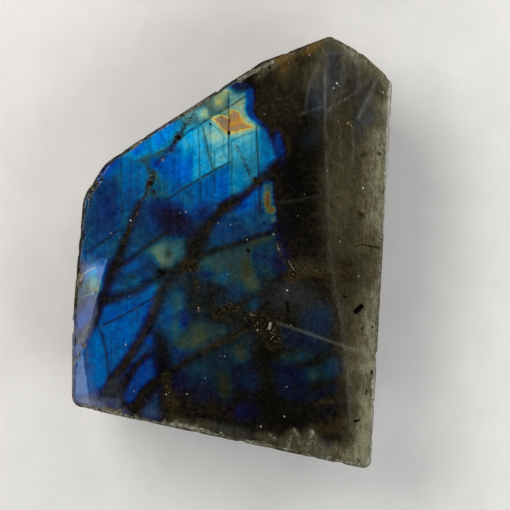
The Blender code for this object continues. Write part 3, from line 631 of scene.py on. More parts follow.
    voids: tuple[Glow, ...] = many(
        Glow,
        (15.6, -29, 7, 6.4, 90, 0.8), (19, -17, 5, 4, 0, 0.45), (3, -31, 7, 5.6, 90, 0.6),
        (-8, -28, 5, 3.6, 30, 0.5), (-24, -31.4, 3, 1.6, 20, 0.4), (13.6, 17, 10, 3, 100, 0.95),
        (12.6, 6, 5, 2.6, 60, 0.8), (17.4, 24.6, 4, 2.4, 70, 0.9), (5.4, 37.6, 2, 1.6, 0, 0.9),
        (16, 34.6, 1.6, 1.2, 90, 0.6), (18.4, 2.4, 2.4, 2, 0, 0.6), (-15.4, -25.6, 4, 2.4, 100, 0.95),
        (8.2, -34.2, 4, 2.6, 30, 0.9), (7.6, -22.6, 3, 1.8, 90, 0.8), (13, -37.4, 3.4, 1.6, 0, 0.85),
        (-30.6, -13.6, 5, 0.7, 60, 0.8),
    )
    # pale blue sheen painted where the bevel at the left mirrors the lights: a painted reflection
    painted_sheen: tuple[Band | Glow, ...] = (
        *many(
            Band,
            ((-35, -13, -35.2, -24, -34.9, -31.6), 1, 0.85, 0.8),
            ((-34.4, -32.3, -31, -33.4), 2.2, 0.76, 1.5), ((-31, -33.5, -28.6, -34.1), 1.3, 0.42, 1.6),
            ((-30.5, -8.6, -31, -13, -31.7, -16.6, -32.9, -20.4, -34.4, -23.6), 1.7, 0.52, 1.2),
            ((-31.6, -22.6, -31.2, -27, -30.6, -31), 1, 0.34, 1.9),
            ((-31.6, -31.6, -29.4, -32.8, -25.6, -33.4), 1.2, 0.34, 1.8),
        ),
        *many(
            Glow,
            (-33.4, -29, 5, 1.7, 88, 0.3), (-31.4, -30.4, 2.6, 1.2, 70, 0.34),
            (-26.8, -33.6, 1.6, 0.9, 10, 0.3), (-24.4, -35.2, 1.6, 0.8, -20, 0.3),
            (-27, -29.8, 3, 1.3, 55, 0.1), (-24.4, -31.6, 1.6, 1.4, 0, 0.1),
            # a faint cool painted sheen at the upper right
            (20.4, 35.4, 5, 2.2, 90, 0.06), (29.8, 32, 6, 2.6, 90, 0.05), (25.6, 41.6, 4, 3, 90, 0.05),
            (-18, -35.6, 2, 1.4, 0, 0.16),
        ),
    )
    crust: tuple[Band | Glow, ...] = many(
        Band,
        # the right rim and the one at the top right
        ((35.2, 37, 34.8, 25, 33.9, 10, 33.2, -2, 32.3, -18, 31.5, -34, 30.9, -46), 1.2, 0.66, 1),
        ((33, 6, 32.7, -9), 1.3, 0.45, 0.9), ((24, 47.2, 29.2, 43.8, 33.6, 40.4, 35.2, 37.4), 0.8, 0.42, 0.9),
        ((31.3, -28.6, 31.2, -31.8), 1.2, 0.98, 0.6), ((1.6, 38, 5, 40.1, 8.8, 41.9), 1.1, 0.8, 0.8),
        ((8.8, 42, 12, 43.3, 16, 44.9, 20.6, 46.6), 0.6, 0.46, 0.7), ((34.8, 37.8, 34.6, 31), 1.6, 0.6, 1.2),
        ((24, 46.8, 29, 43.2, 34.6, 38.6), 1, 0.3, 1.4),
        # the upper-left rim and the left one
        ((-33.9, -3, -33.6, 6, -32.9, 13, -29.9, 17.8, -21.6, 23.6, -9, 31.8, 1.6, 38), 0.7, 0.36, 0.8),
        ((-33.5, -4.8, -33.7, -7.2), 1.2, 0.8, 0.7), ((-22, 23, -20.2, 24.2), 1, 0.55, 0.9),
        ((-15, 27.8, -9, 31.4), 0.9, 0.34, 0.9), ((-8.6, 31.8, -5, 34), 1.2, 0.5, 1.2),
        ((-32.2, 13.6, -31.6, 11.2), 1, 0.36, 1),
        # the worn ridge between the two ground strips at the left
        ((-30.3, -8.6, -30.8, -13, -31.5, -16.6, -32.8, -20.4), 1.6, 0.34, 1.8),
        ((-32.8, -20.6, -34, -22.6, -34.8, -24.4), 1.4, 0.58, 1.4),
        ((-35.1, -12, -35.2, -24, -35, -31), 0.5, 0.5, 0.6), ((-31, -33.4, -27, -34), 1, 0.26, 1.6),
        # the bottom rim
        ((-33.8, -33.4, -30, -34.5, -25, -35.7, -20, -37, -15, -38, -10, -38.8, -5, -40, 0, -41.2, 5, -42.3,
            10, -43.1, 15, -44.5, 20, -45.4, 29, -47.3), 0.9, 0.55, 0.8),
        ((-33.2, -33.8, -30.2, -34.5), 0.8, 0.6, 0.8), ((-28.2, -34.8, -25, -35.5), 1.5, 0.72, 1),
        ((-23.4, -36, -18, -37.3), 1, 0.34, 0.9), ((-14.8, -37.6, -12.4, -38), 1.4, 0.6, 1.2),
        ((-12, -38, -8, -38.9), 1.6, 0.64, 1.4), ((-8, -39, -4, -39.9), 1.4, 0.4, 1.4),
        ((-2.5, -40, -2.4, -40.4), 0.8, 0.9, 0.6), ((3.2, -41.9, 8, -42.7), 1.2, 0.8, 0.8),
        ((20.5, -45.3, 25, -46.3, 29, -47.3), 1.3, 0.52, 1), ((8.6, -40.2, 9.3, -41.2), 0.8, 0.6, 1),
        ((8.5, -15.9, 8.2, -17.1), 0.6, 0.86, 0.5),
        # feathery powder above it
        ((12.2, -43.4, 12.8, -41.2, 13.8, -39.6), 1.4, 0.5, 1.5),
        ((13.8, -39.6, 15.2, -41, 15.4, -42.8), 1, 0.5, 1.3),
        ((16.4, -44.4, 17, -42, 17.7, -39.4), 1.2, 0.58, 1.3), ((17.7, -39.4, 18.5, -41.8), 0.8, 0.55, 1.1),
        ((23, -41.8, 23.8, -43.6), 1.4, 0.36, 1.6),
    )

    def veil(self, places: Array) -> Array:
        """The pale veil, milkiness with painted sheen of the lights: a step at the long crease, then a rise
        towards the right rim, which it follows.

        With d the distance to the rim along X, the rise is a smooth step over the frost's reach. The clears
        are taken out, and the clouds laid over what is left.

        Args:
            places: Points of the face, one row of x and y each, in millimetres.

        Returns:
            The veil, one value a point, from 0 to 1.
        """
        flat = np.column_stack([places, np.zeros(len(places))])
        drift = GrainNoise(21).layered(flat * [1.0, 0.35, 1.0], 6.0, 3)
        spots = places + 1.2 * drift[:, None]
        x, y = spots.T
        (crease_x, crease_y), (rim_x, rim_y) = unrolled(self.crease_line).T, unrolled(self.right_rim).T
        past = x - np.interp(y, crease_y, crease_x)
        inward = np.interp(y, rim_y, rim_x) - x
        base = (self.crease_step + self.foot_step * ease(-18.0, -30.0, y)) * ease(-3.6, 2.8, past)
        # paler towards the right rim: milkiness with painted sheen
        base += self.frost_and_sheen * ease(self.frost_and_sheen_reach, 0.5, inward)
        base = np.clip(base, 0.0, 1.0) * (1.0 - gathered(self.clears, spots))
        return 1.0 - (1.0 - base) * (1.0 - gathered(self.clouds, spots))

    def fields(self, places: Array) -> dict[str, Array]:
        """Every field of the clouding.

        Args:
            places: Points of the face, one row of x and y each, in millimetres.

        Returns:
            The fields by name, one value a point.
        """
        spots = wandered(places, size=3.0, reach=0.6, seed=23)
        return {
            # the pale veil: milkiness with painted sheen over the right side
            "veil": self.veil(places),
            "crease": gathered(self.creases, places),
            "earth": gathered(self.earth, spots),
            "slate": gathered(self.slate, spots),
            "body": 1.0 - gathered(self.voids, spots),
            # the painted sheen: a reflection of the lights painted on the bevel at the left, and faintly at
            # the upper right
            "painted_sheen": gathered(self.painted_sheen, spots),
            "crust": gathered(self.crust, wandered(places, size=1.6, reach=0.35, seed=33)),
        }


# ---------------------------------------------------------------- the stone's skin


@dataclass(frozen=True)
class Breakage:
    """How deep the stone's skin is broken in, in millimetres.

    On the broken sides it is the sum of low terraces (the whole steps of a wide noise, with short risers),
    ridged hackle and fine grain. On the ground face it is nothing, and along the rim small chips are out.

    Attributes:
        terrace: Height of a terrace's step.
        terrace_size: Breadth of the terraces.
        hackle: Height of the hackle.
        hackle_size: Its breadth.
        grain: Height of the grain.
        grain_size: Its breadth.
        bite: Share of these that is cut in.
        chip: Depth of the chips along the rim.
        chip_size: Their breadth.
        lip: Where on the way over the rim the chips are deepest.
        lip_width: How far on that way they spread.
    """

    terrace: float = 0.45
    terrace_size: float = 9.0
    hackle: float = 1.1
    hackle_size: float = 3.2
    grain: float = 0.12
    grain_size: float = 0.9
    bite: float = 0.55
    chip: float = 0.65
    chip_size: float = 3.4
    lip: float = 1.05
    lip_width: float = 0.05

    def depth(self, points: Array, place: Array) -> Array:
        """How deep the skin is broken in at each point.

        Args:
            points: Places on the solid, one row each, in millimetres.
            place: Where each lies on the way from the middle (0) over rim (1) and foot (2) to the back.

        Returns:
            One depth a point, at least 0.
        """
        wide, fine, chips = GrainNoise(31), GrainNoise(32), GrainNoise(33)
        levels = 2.4 * (wide.layered(points * [1.0, 1.0, 1.7], self.terrace_size, 3) + 1.0)
        low = self.terrace * (np.floor(levels) + ease(0.78, 1.0, levels % 1.0))
        low += self.hackle * fine.ridged(points, self.hackle_size, 4)
        low += self.grain * fine.layered(points, self.grain_size, 2)
        rough = ease(1.06, 1.13, place) * (1.0 - 0.6 * ease(2.0, 2.15, place))
        lip = np.exp(-(((place - self.lip) / self.lip_width) ** 2))
        chipped = ease(0.05, 0.55, chips.layered(points, self.chip_size, 3))
        return rough * (low - low.min()) * self.bite + self.chip * lip * chipped


@dataclass
class StoneSkin:
    """The stone's whole surface: a closed grid laid onto the frame's solid and roughened.

    Attributes:
        node: Name of the solid in the frame that it stands for.
        columns: Steps of the grid round the stone.
        face_rows: Rows over the middle of the face, and from there to the rim.
        wall_rows: Rows down the wall.
        back_rows: Rows from the foot of the wall to the middle of the back, and over that.
        waist: Height of the flat plate inside the stone that the grid is stretched round.
        inset: How far inside the outline the plate's edge lies.
        clearance: How far off the plate the grid starts.
        rounding: Spread of the turn over which the plate's corners are rounded, in degrees.
        level: How level the grid lies where a worn edge begins, on the lower half and on the upper.
        edge_fade: How much less level it lies where the edge is whole, on the lower half and on the upper.
        breakage: How it is broken in.
        polish: Where the skin is polished, one value a point, once it is built.
        edge: Where it is a worn edge, in the same way.
        wear: How little it is broken in, in the same way.
    """

    node: str = STONE
    columns: int = 600
    face_rows: tuple[int, int] = (46, 42)
    wall_rows: int = 40
    back_rows: tuple[int, int] = (18, 12)
    waist: float = 12.6
    inset: float = 14.0
    clearance: float = 27.0
    rounding: float = 24.0
    level: tuple[float, float] = (0.961, 0.9725)
    edge_fade: tuple[float, float] = (0.021, 0.008)
    breakage: Breakage = field(default_factory=Breakage)
    polish: Array = field(init=False, repr=False)
    edge: Array = field(init=False, repr=False)
    wear: Array = field(init=False, repr=False)

    def outline(self, solid: Array, bearings: Array) -> Array:
        """Reach of the solid's outline at each bearing: the largest x cos(b) + y sin(b) over its corners."""
        return (solid[:, :2] @ np.stack([np.cos(bearings), np.sin(bearings)])).max(axis=0)

    def plate(self, solid: Array) -> tuple[Array, Array, Array]:
        """The flat plate's edge inside the stone, sampled so that the columns stand evenly round the wall.

        The plate is the outline's reach, averaged over nearby bearings, less the inset. A shape whose reach
        is h(b) has the edge points h n + h' t, with n and t the unit vectors along and across the bearing b.

        Args:
            solid: The solid's corners, one row each, in millimetres.

        Returns:
            The bearings, the edge's points, and the level distance from each to the outline.
        """
        fine = np.linspace(-np.pi, np.pi, 1440, endpoint=False)
        reach = self.outline(solid, fine)
        spread = np.radians(self.rounding)
        kernel = np.exp(-0.5 * (fine / spread) ** 2)
        spectrum = np.fft.rfft(reach) * np.fft.rfft(np.fft.ifftshift(kernel / kernel.sum()))
        smooth = np.fft.irfft(spectrum, len(fine)) - self.inset
        slope = np.gradient(np.concatenate([smooth[-1:], smooth, smooth[:1]]), fine[1] - fine[0])[1:-1]
        out = np.stack([np.cos(fine), np.sin(fine)], axis=1)
        across = np.stack([-out[:, 1], out[:, 0]], axis=1)
        edge = smooth[:, None] * out + slope[:, None] * across
        facing = out @ out.T
        room = np.where(facing > 0.05, (reach[None, :] - edge @ out.T) / np.maximum(facing, 0.05), np.inf)
        wall = room.min(axis=1)
        ring = edge + wall[:, None] * out
        steps = np.linalg.norm(np.roll(ring, -1, axis=0) - ring, axis=1)
        run = np.concatenate([[0.0], np.cumsum(steps)])
        even = np.linspace(0.0, run[-1], self.columns, endpoint=False)
        bearings = np.interp(even, run, np.append(fine, np.pi))
        pick = [np.interp(bearings, fine, part, period=2 * np.pi) for part in (edge[:, 0], edge[:, 1], wall)]
        return bearings, np.stack(pick[:2], axis=1), pick[2]

    def rays(self, solid: Array) -> tuple[Array, Array, Array]:
        """Starting points and directions of the grid's rays, row by row from the face's middle to the back's.

        Over the plate the rays stand upright. Past its edge they fan out: a row's slope is that of a point on
        the upright rectangle that is as tall as the stone and reaches from the plate to the wall.

        Args:
            solid: The solid's corners, one row each, in millimetres.

        Returns:
            Starts and directions, of shape rows x columns x 3, and each row's place: 0 in the middle of the
            face, 1 at its rim, 2 at the foot of the wall and 3 in the middle of the back.
        """
        bearings, edge, wall = self.plate(solid)
        out = np.stack([np.cos(bearings), np.sin(bearings), np.zeros_like(bearings)], axis=1)
        up = np.array([0.0, 0.0, 1.0])
        top, foot = solid[:, 2].max() - self.waist, self.waist
        inner, strip, strip_back, inner_back = (
            np.linspace(0.0, 1.0, count + 1)[1:] for count in (*self.face_rows, *self.back_rows))
        down = np.linspace(0.0, 1.0, self.wall_rows + 1)[1:] ** 1.3
        inner, inner_back = inner**0.85, (1.0 - inner_back)[:-1] ** 0.85
        strip = ease(0.0, 1.0, 0.04 + 0.96 * strip)
        strip_back = 1.0 - ease(0.0, 1.0, 0.04 + 0.96 * strip_back)
        level = np.concatenate([strip, np.ones_like(down), strip_back])[:, None] * wall
        rise = np.concatenate(
            [np.full_like(strip, top), top - (top + foot) * down, np.full_like(strip_back, -foot)])
        slope = np.arctan2(rise[:, None], level)
        fan = np.cos(slope)[..., None] * out + np.sin(slope)[..., None] * up
        aims = np.concatenate([np.broadcast_to(up, (len(inner), self.columns, 3)), fan,
                               np.broadcast_to(-up, (len(inner_back), self.columns, 3))])
        shares = np.concatenate([inner, np.ones(len(fan)), inner_back])
        starts = shares[:, None, None] * np.pad(edge, ((0, 0), (0, 1)))
        places = np.concatenate([0.5 * inner, 0.5 + 0.5 * strip, 1.0 + down, 2.5 - 0.5 * strip_back,
                                 3.0 - 0.5 * inner_back])
        return starts, aims, places

    def blank(self, starts: Array, aims: Array) -> bpy.types.Object:
        """The closed grid before it is laid on: each ray's start plus the clearance along the ray.

        Rows are joined by quads round the stone, and the middle of the face and of the back is one point
        each, closed by triangles.

        Args:
            starts: The rays' starts, rows x columns x 3, in millimetres.
            aims: Their unit directions.

        Returns:
            The grid as a new object.
        """
        rows, columns = starts.shape[:2]
        shell = (starts + self.clearance * aims).reshape(-1, 3)
        poles = np.array([[0.0, 0.0, self.clearance], [0.0, 0.0, -self.clearance]])
        points = np.concatenate([shell, poles]) * MM
        points[:, 2] += self.waist * MM
        index = np.arange(rows * columns).reshape(rows, columns)
        after = np.roll(index, -1, axis=1)
        quads = np.stack([index[:-1], index[1:], after[1:], after[:-1]], axis=2).reshape(-1, 4)
        top = np.stack([np.full(columns, rows * columns), index[0], after[0]], axis=1)
        low = np.stack([np.full(columns, rows * columns + 1), after[-1], index[-1]], axis=1)
        mesh = bpy.data.meshes.new("stone_skin")
        mesh.from_pydata(points.tolist(), [], quads.tolist() + top.tolist() + low.tolist())
        skin = bpy.data.objects.new("stone_skin", mesh)
        bpy.context.scene.collection.objects.link(skin)
        return skin

    def laid_on(self, skin: bpy.types.Object, solid: bpy.types.Object) -> Array:
        """Where the grid's points meet the solid: each goes back along its normal to it.

        Args:
            skin: The grid.
            solid: The frame's solid.

        Returns:
            The points, one row each, in millimetres.
        """
        wrap = skin.modifiers.new("lay_on", "SHRINKWRAP")
        wrap.target = solid
        wrap.wrap_method = "PROJECT"
        wrap.use_negative_direction = True
        wrap.use_positive_direction = False
        laid = skin.evaluated_get(bpy.context.evaluated_depsgraph_get()).to_mesh()
        points = np.empty(len(laid.vertices) * 3, dtype=np.float32)
        laid.vertices.foreach_get("co", points)
        skin.modifiers.clear()
        return points.reshape(-1, 3).astype(float) / MM

    def upright(self, points: Array) -> Array:
        """How level the grid lies at each point: the size of its unit normal's Z, and 1 at the two middles.

        Args:
            points: The grid's points, row by row, and then its two middles.

        Returns:
            One value a point, from 0 for a wall to 1.
        """
        grid = points[:-2].reshape(-1, self.columns, 3)
        down = np.gradient(grid, axis=0)
        across = np.roll(grid, -1, axis=1) - np.roll(grid, 1, axis=1)
        normal = np.cross(down, across)
        level = np.abs(normal[..., 2]) / np.maximum(np.linalg.norm(normal, axis=2), 1e-9)
        return np.concatenate([level.ravel(), [1.0, 1.0]])

    def build(self, solid: bpy.types.Object) -> bpy.types.Object:
        """Makes the stone's skin and keeps its masks as attributes.

        Args:
            solid: The frame's solid.

        Returns:
            The finished skin.
        """
        corners = np.empty(len(solid.data.vertices) * 3, dtype=np.float32)
        solid.data.vertices.foreach_get("co", corners)
        starts, aims, rows = self.rays(corners.reshape(-1, 3).astype(float) / MM)
        skin = self.blank(starts, aims)
        points = self.laid_on(skin, solid)
        ends = np.array([[0.0, 0.0, 1.0], [0.0, 0.0, -1.0]])
        aim = np.concatenate([aims.reshape(-1, 3), ends])
        place = np.concatenate([np.repeat(rows, self.columns), [0.0, 3.0]])
        depth = self.breakage.depth(points, place)
        carved = points - depth[:, None] * aim
        carved[:, 2] = np.maximum(carved[:, 2], 0.0)
        skin.data.vertices.foreach_set("co", (carved * MM).astype(np.float32).ravel())
        self.polish = 1.0 - ease(1.05, 1.09, place)
        upper = ease(-3.0, -1.0, points[:, 1])
        level, fade = (low + (high - low) * upper for low, high in (self.level, self.edge_fade))
        self.edge = np.maximum(ease(0.0, -fade, self.upright(carved) - level), ease(0.05, 0.25, depth))
        self.wear = np.clip(1.0 - depth / 1.2, 0.0, 1.0)
        skin.data.update()
        skin.data.shade_smooth()
        return skin


def keep_field(mesh: bpy.types.Mesh, name: str, values: Array) -> None:
    """Stores one value a point on the mesh, under a name that the finishes read."""
    layer = mesh.attributes.new(name, "FLOAT", "POINT")
    layer.data.foreach_set("value", values.astype(np.float32))


# ---------------------------------------------------------------- shader nodes


class Bench:
    """Lays nodes into one node tree, and joins each input to a socket or sets it to a plain value.

    Attributes:
        tree: The node tree that is being built.
    """

    def __init__(self, tree: bpy.types.NodeTree) -> None:
        """Starts on a tree."""
        self.tree = tree

    def feed(self, node: bpy.types.Node, feeds: Feeds) -> None:
        """Joins a node's inputs to sockets or sets them to values. A colour of three numbers is made opaque.

        Args:
            node: The node.
            feeds: What goes into its inputs, by name or number. None leaves an input as it is.
        """
        for key, value in feeds.items():
            socket = node.inputs[key]
            if isinstance(value, Socket):
                self.tree.links.new(value, socket)
            elif value is not None:
                opaque = socket.type == "RGBA" and len(value) == 3
                socket.default_value = (*value, 1.0) if opaque else value

    def put(self, kind: str, feeds: Feeds | None = None, **settings: Any) -> bpy.types.Node:
        """Adds a node.

        Args:
            kind: The node's type, without the word ShaderNode in front.
            feeds: What goes into its inputs, by name or number.
            **settings: Properties of the node itself.

        Returns:
            The node.
        """
        node = self.tree.nodes.new("ShaderNode" + kind)
        for name, value in settings.items():
            setattr(node, name, value)
        self.feed(node, feeds or {})
        return node

    def math(self, operation: str, first: Feed, second: Feed | None = None) -> Socket:
        """The result of one Math node."""
        return self.put("Math", {0: first, 1: second}, operation=operation).outputs[0]

    def vector(self, operation: str, first: Feed, second: Feed | None = None, result: int = 0) -> Socket:
        """The result of one Vector Math node. Its second feed is the scale where it scales."""
        slot = "Scale" if operation == "SCALE" else 1
        return self.put("VectorMath", {0: first, slot: second}, operation=operation).outputs[result]

    def times(self, *factors: Feed) -> Socket:
        """The product of sockets and numbers."""
        return reduce(lambda one, two: self.math("MULTIPLY", one, two), factors)

    def less(self, value: Feed) -> Socket:
        """What is left of 1 without the value."""
        return self.math("SUBTRACT", 1.0, value)

    def eased(self, value: Feed, low: float, high: float, start: float = 0.0, end: float = 1.0) -> Socket:
        """The value, carried by a smooth step from between low and high to between start and end."""
        feeds = {"Value": value, "From Min": low, "From Max": high, "To Min": start, "To Max": end}
        return self.put("MapRange", feeds, interpolation_type="SMOOTHSTEP").outputs["Result"]

    def swayed(self, noise: Socket, low: float, high: float, reach: float = 0.2) -> Socket:
        """Noise carried to between low and high as it goes from its middle less the reach to that plus it."""
        return self.eased(noise, 0.5 - reach, 0.5 + reach, low, high)

    def painted(self, colour: Feed, *coats: tuple[Feed, Feed]) -> Socket:
        """A colour with coats over it.

        Args:
            colour: The colour.
            *coats: From the lowest up, how fully each covers what is under it, and its colour.

        Returns:
            The mixed colour.
        """
        for share, coat in coats:
            feeds = {MIX_SHARE: share, MIX_UNDER: colour, MIX_OVER: coat}
            colour = self.put("Mix", feeds, data_type="RGBA").outputs[MIX_COLOUR]
        return colour

    def noise(self, vector: Socket, scale: Feed, detail: float, rough: float, twist: float = 0.0) -> Socket:
        """Fractal noise from 0 to 1."""
        feeds = {"Vector": vector, "Scale": scale, "Detail": detail, "Roughness": rough, "Distortion": twist}
        return self.put("TexNoise", feeds).outputs["Fac"]

    def cells(self, vector: Socket, scale: Feed) -> tuple[Socket, bpy.types.bpy_prop_collection]:
        """Cells about scattered points: the distance to the nearest point, and the three chances it draws."""
        cells = self.put("TexVoronoi", {"Vector": vector, "Scale": scale}).outputs
        return cells["Distance"], self.put("SeparateColor", {"Color": cells["Color"]}).outputs

    def drawn_out(self, vector: Socket, stretch: Stretch, turn: float = 0.0) -> Socket:
        """Coordinates turned about Z, in degrees, and then scaled along each axis."""
        turned = self.put("Mapping", {"Vector": vector, "Rotation": (0.0, 0.0, float(np.radians(turn)))})
        return self.put("Mapping", {"Vector": turned.outputs[0], "Scale": stretch}).outputs[0]

    def palette(self, share: Socket, stops: Palette) -> Socket:
        """The colour at a share of the way along a row of colours.

        Args:
            share: The share.
            stops: The colours and their places from 0 to 1.

        Returns:
            The colour.
        """
        node = self.put("ValToRGB", {"Fac": share})
        ramp = node.color_ramp
        while len(ramp.elements) < len(stops):
            ramp.elements.new(0.5)
        for element, (place, colour) in zip(ramp.elements, stops):
            element.position, element.color = place, (*colour, 1.0)
        return node.outputs["Color"]

    def field(self, name: str) -> Socket:
        """A field that the stone's skin keeps as an attribute."""
        return self.put("Attribute", attribute_name=name, attribute_type="GEOMETRY").outputs["Fac"]

    def bump(self, height: Socket, strength: float, depth: float) -> Socket:
        """The normal over a height field, its depth in millimetres."""
        feeds = {"Height": height, "Strength": strength, "Distance": depth * MM}
        return self.put("Bump", feeds).outputs["Normal"]


@dataclass(frozen=True)
class Texture:
    """Fractal noise from 0 to 1 over a surface.

    Attributes:
        scale: Lumps a millimetre, one value or one along each axis.
        detail: Octaves.
        rough: Strength of each octave beside the one before.
        twist: How far the noise is warped.
        turn: Angle that the axes are turned by about Z, in degrees, where each has its own scale.
    """

    scale: float | Stretch
    detail: float
    rough: float
    twist: float = 0.0
    turn: float = 0.0

    def over(self, bench: Bench, place: Socket) -> Socket:
        """Lays the noise.

        Args:
            bench: The bench of the material.
            place: The place on the surface, in millimetres.

        Returns:
            The noise.
        """
        if isinstance(self.scale, tuple):
            place = bench.drawn_out(place, self.scale, self.turn)
            return bench.noise(place, 1.0, self.detail, self.rough, self.twist)
        return bench.noise(place, self.scale, self.detail, self.rough, self.twist)


class Effect(Enum):
    """The shared effects, each a node group that both finishes place with values of their own."""

    HAIRLINE = "hairline"
    GRAIN = "mineral_grain"
    STAIN = "iron_stain"
    CRUMB = "crumbling_grains"
    CRUST = "worn_crust"
    DUST = "dust"


# Numbers of a Mix node's sockets where it mixes colours.
MIX_SHARE, MIX_UNDER, MIX_OVER, MIX_COLOUR = 0, 6, 7, 2
BLACK: Colour = (0.0, 0.0, 0.0)
# Dirt in the cracks, and the colours of the loose grains on it, from the commonest to the rarest.
DIRT: Colour = (0.0036, 0.0028, 0.0015)
CRUMB_COLOURS: Palette = (
    (0.0, (0.036, 0.025, 0.010)),
    (0.34, (0.095, 0.062, 0.028)),
    (0.62, (0.190, 0.130, 0.070)),
    (0.84, (0.340, 0.250, 0.160)),
    (1.0, (0.600, 0.520, 0.400)),
)
# Colours of the worn crust along the edges, from the dirt in its pits to the powder on its crests.
CRUST_COLOURS: Palette = (
    (0.0, (0.016, 0.012, 0.007)),
    (0.32, (0.058, 0.048, 0.031)),
    (0.58, (0.13, 0.125, 0.090)),
    (0.80, (0.25, 0.245, 0.185)),
    (1.0, (0.50, 0.47, 0.37)),
)
# Colours of the flash by the spacing of the lamellae, from the closest to the widest.
FLASH_COLOURS: Palette = (
    (0.0, (0.018, 0.006, 0.035)),
    (0.10, (0.006, 0.009, 0.15)),
    (0.20, (0.000, 0.032, 0.36)),
    (0.30, (0.000, 0.125, 0.62)),
    (0.38, (0.000, 0.230, 0.76)),
    (0.46, (0.000, 0.42, 0.88)),
    (0.53, (0.045, 0.47, 0.68)),
    (0.60, (0.19, 0.52, 0.50)),
    (0.67, (0.38, 0.54, 0.29)),
    (0.74, (0.56, 0.52, 0.14)),
    (0.81, (0.68, 0.42, 0.070)),
    (0.88, (0.46, 0.22, 0.045)),
    (0.94, (0.36, 0.215, 0.085)),
    (1.0, (0.26, 0.20, 0.13)),
)


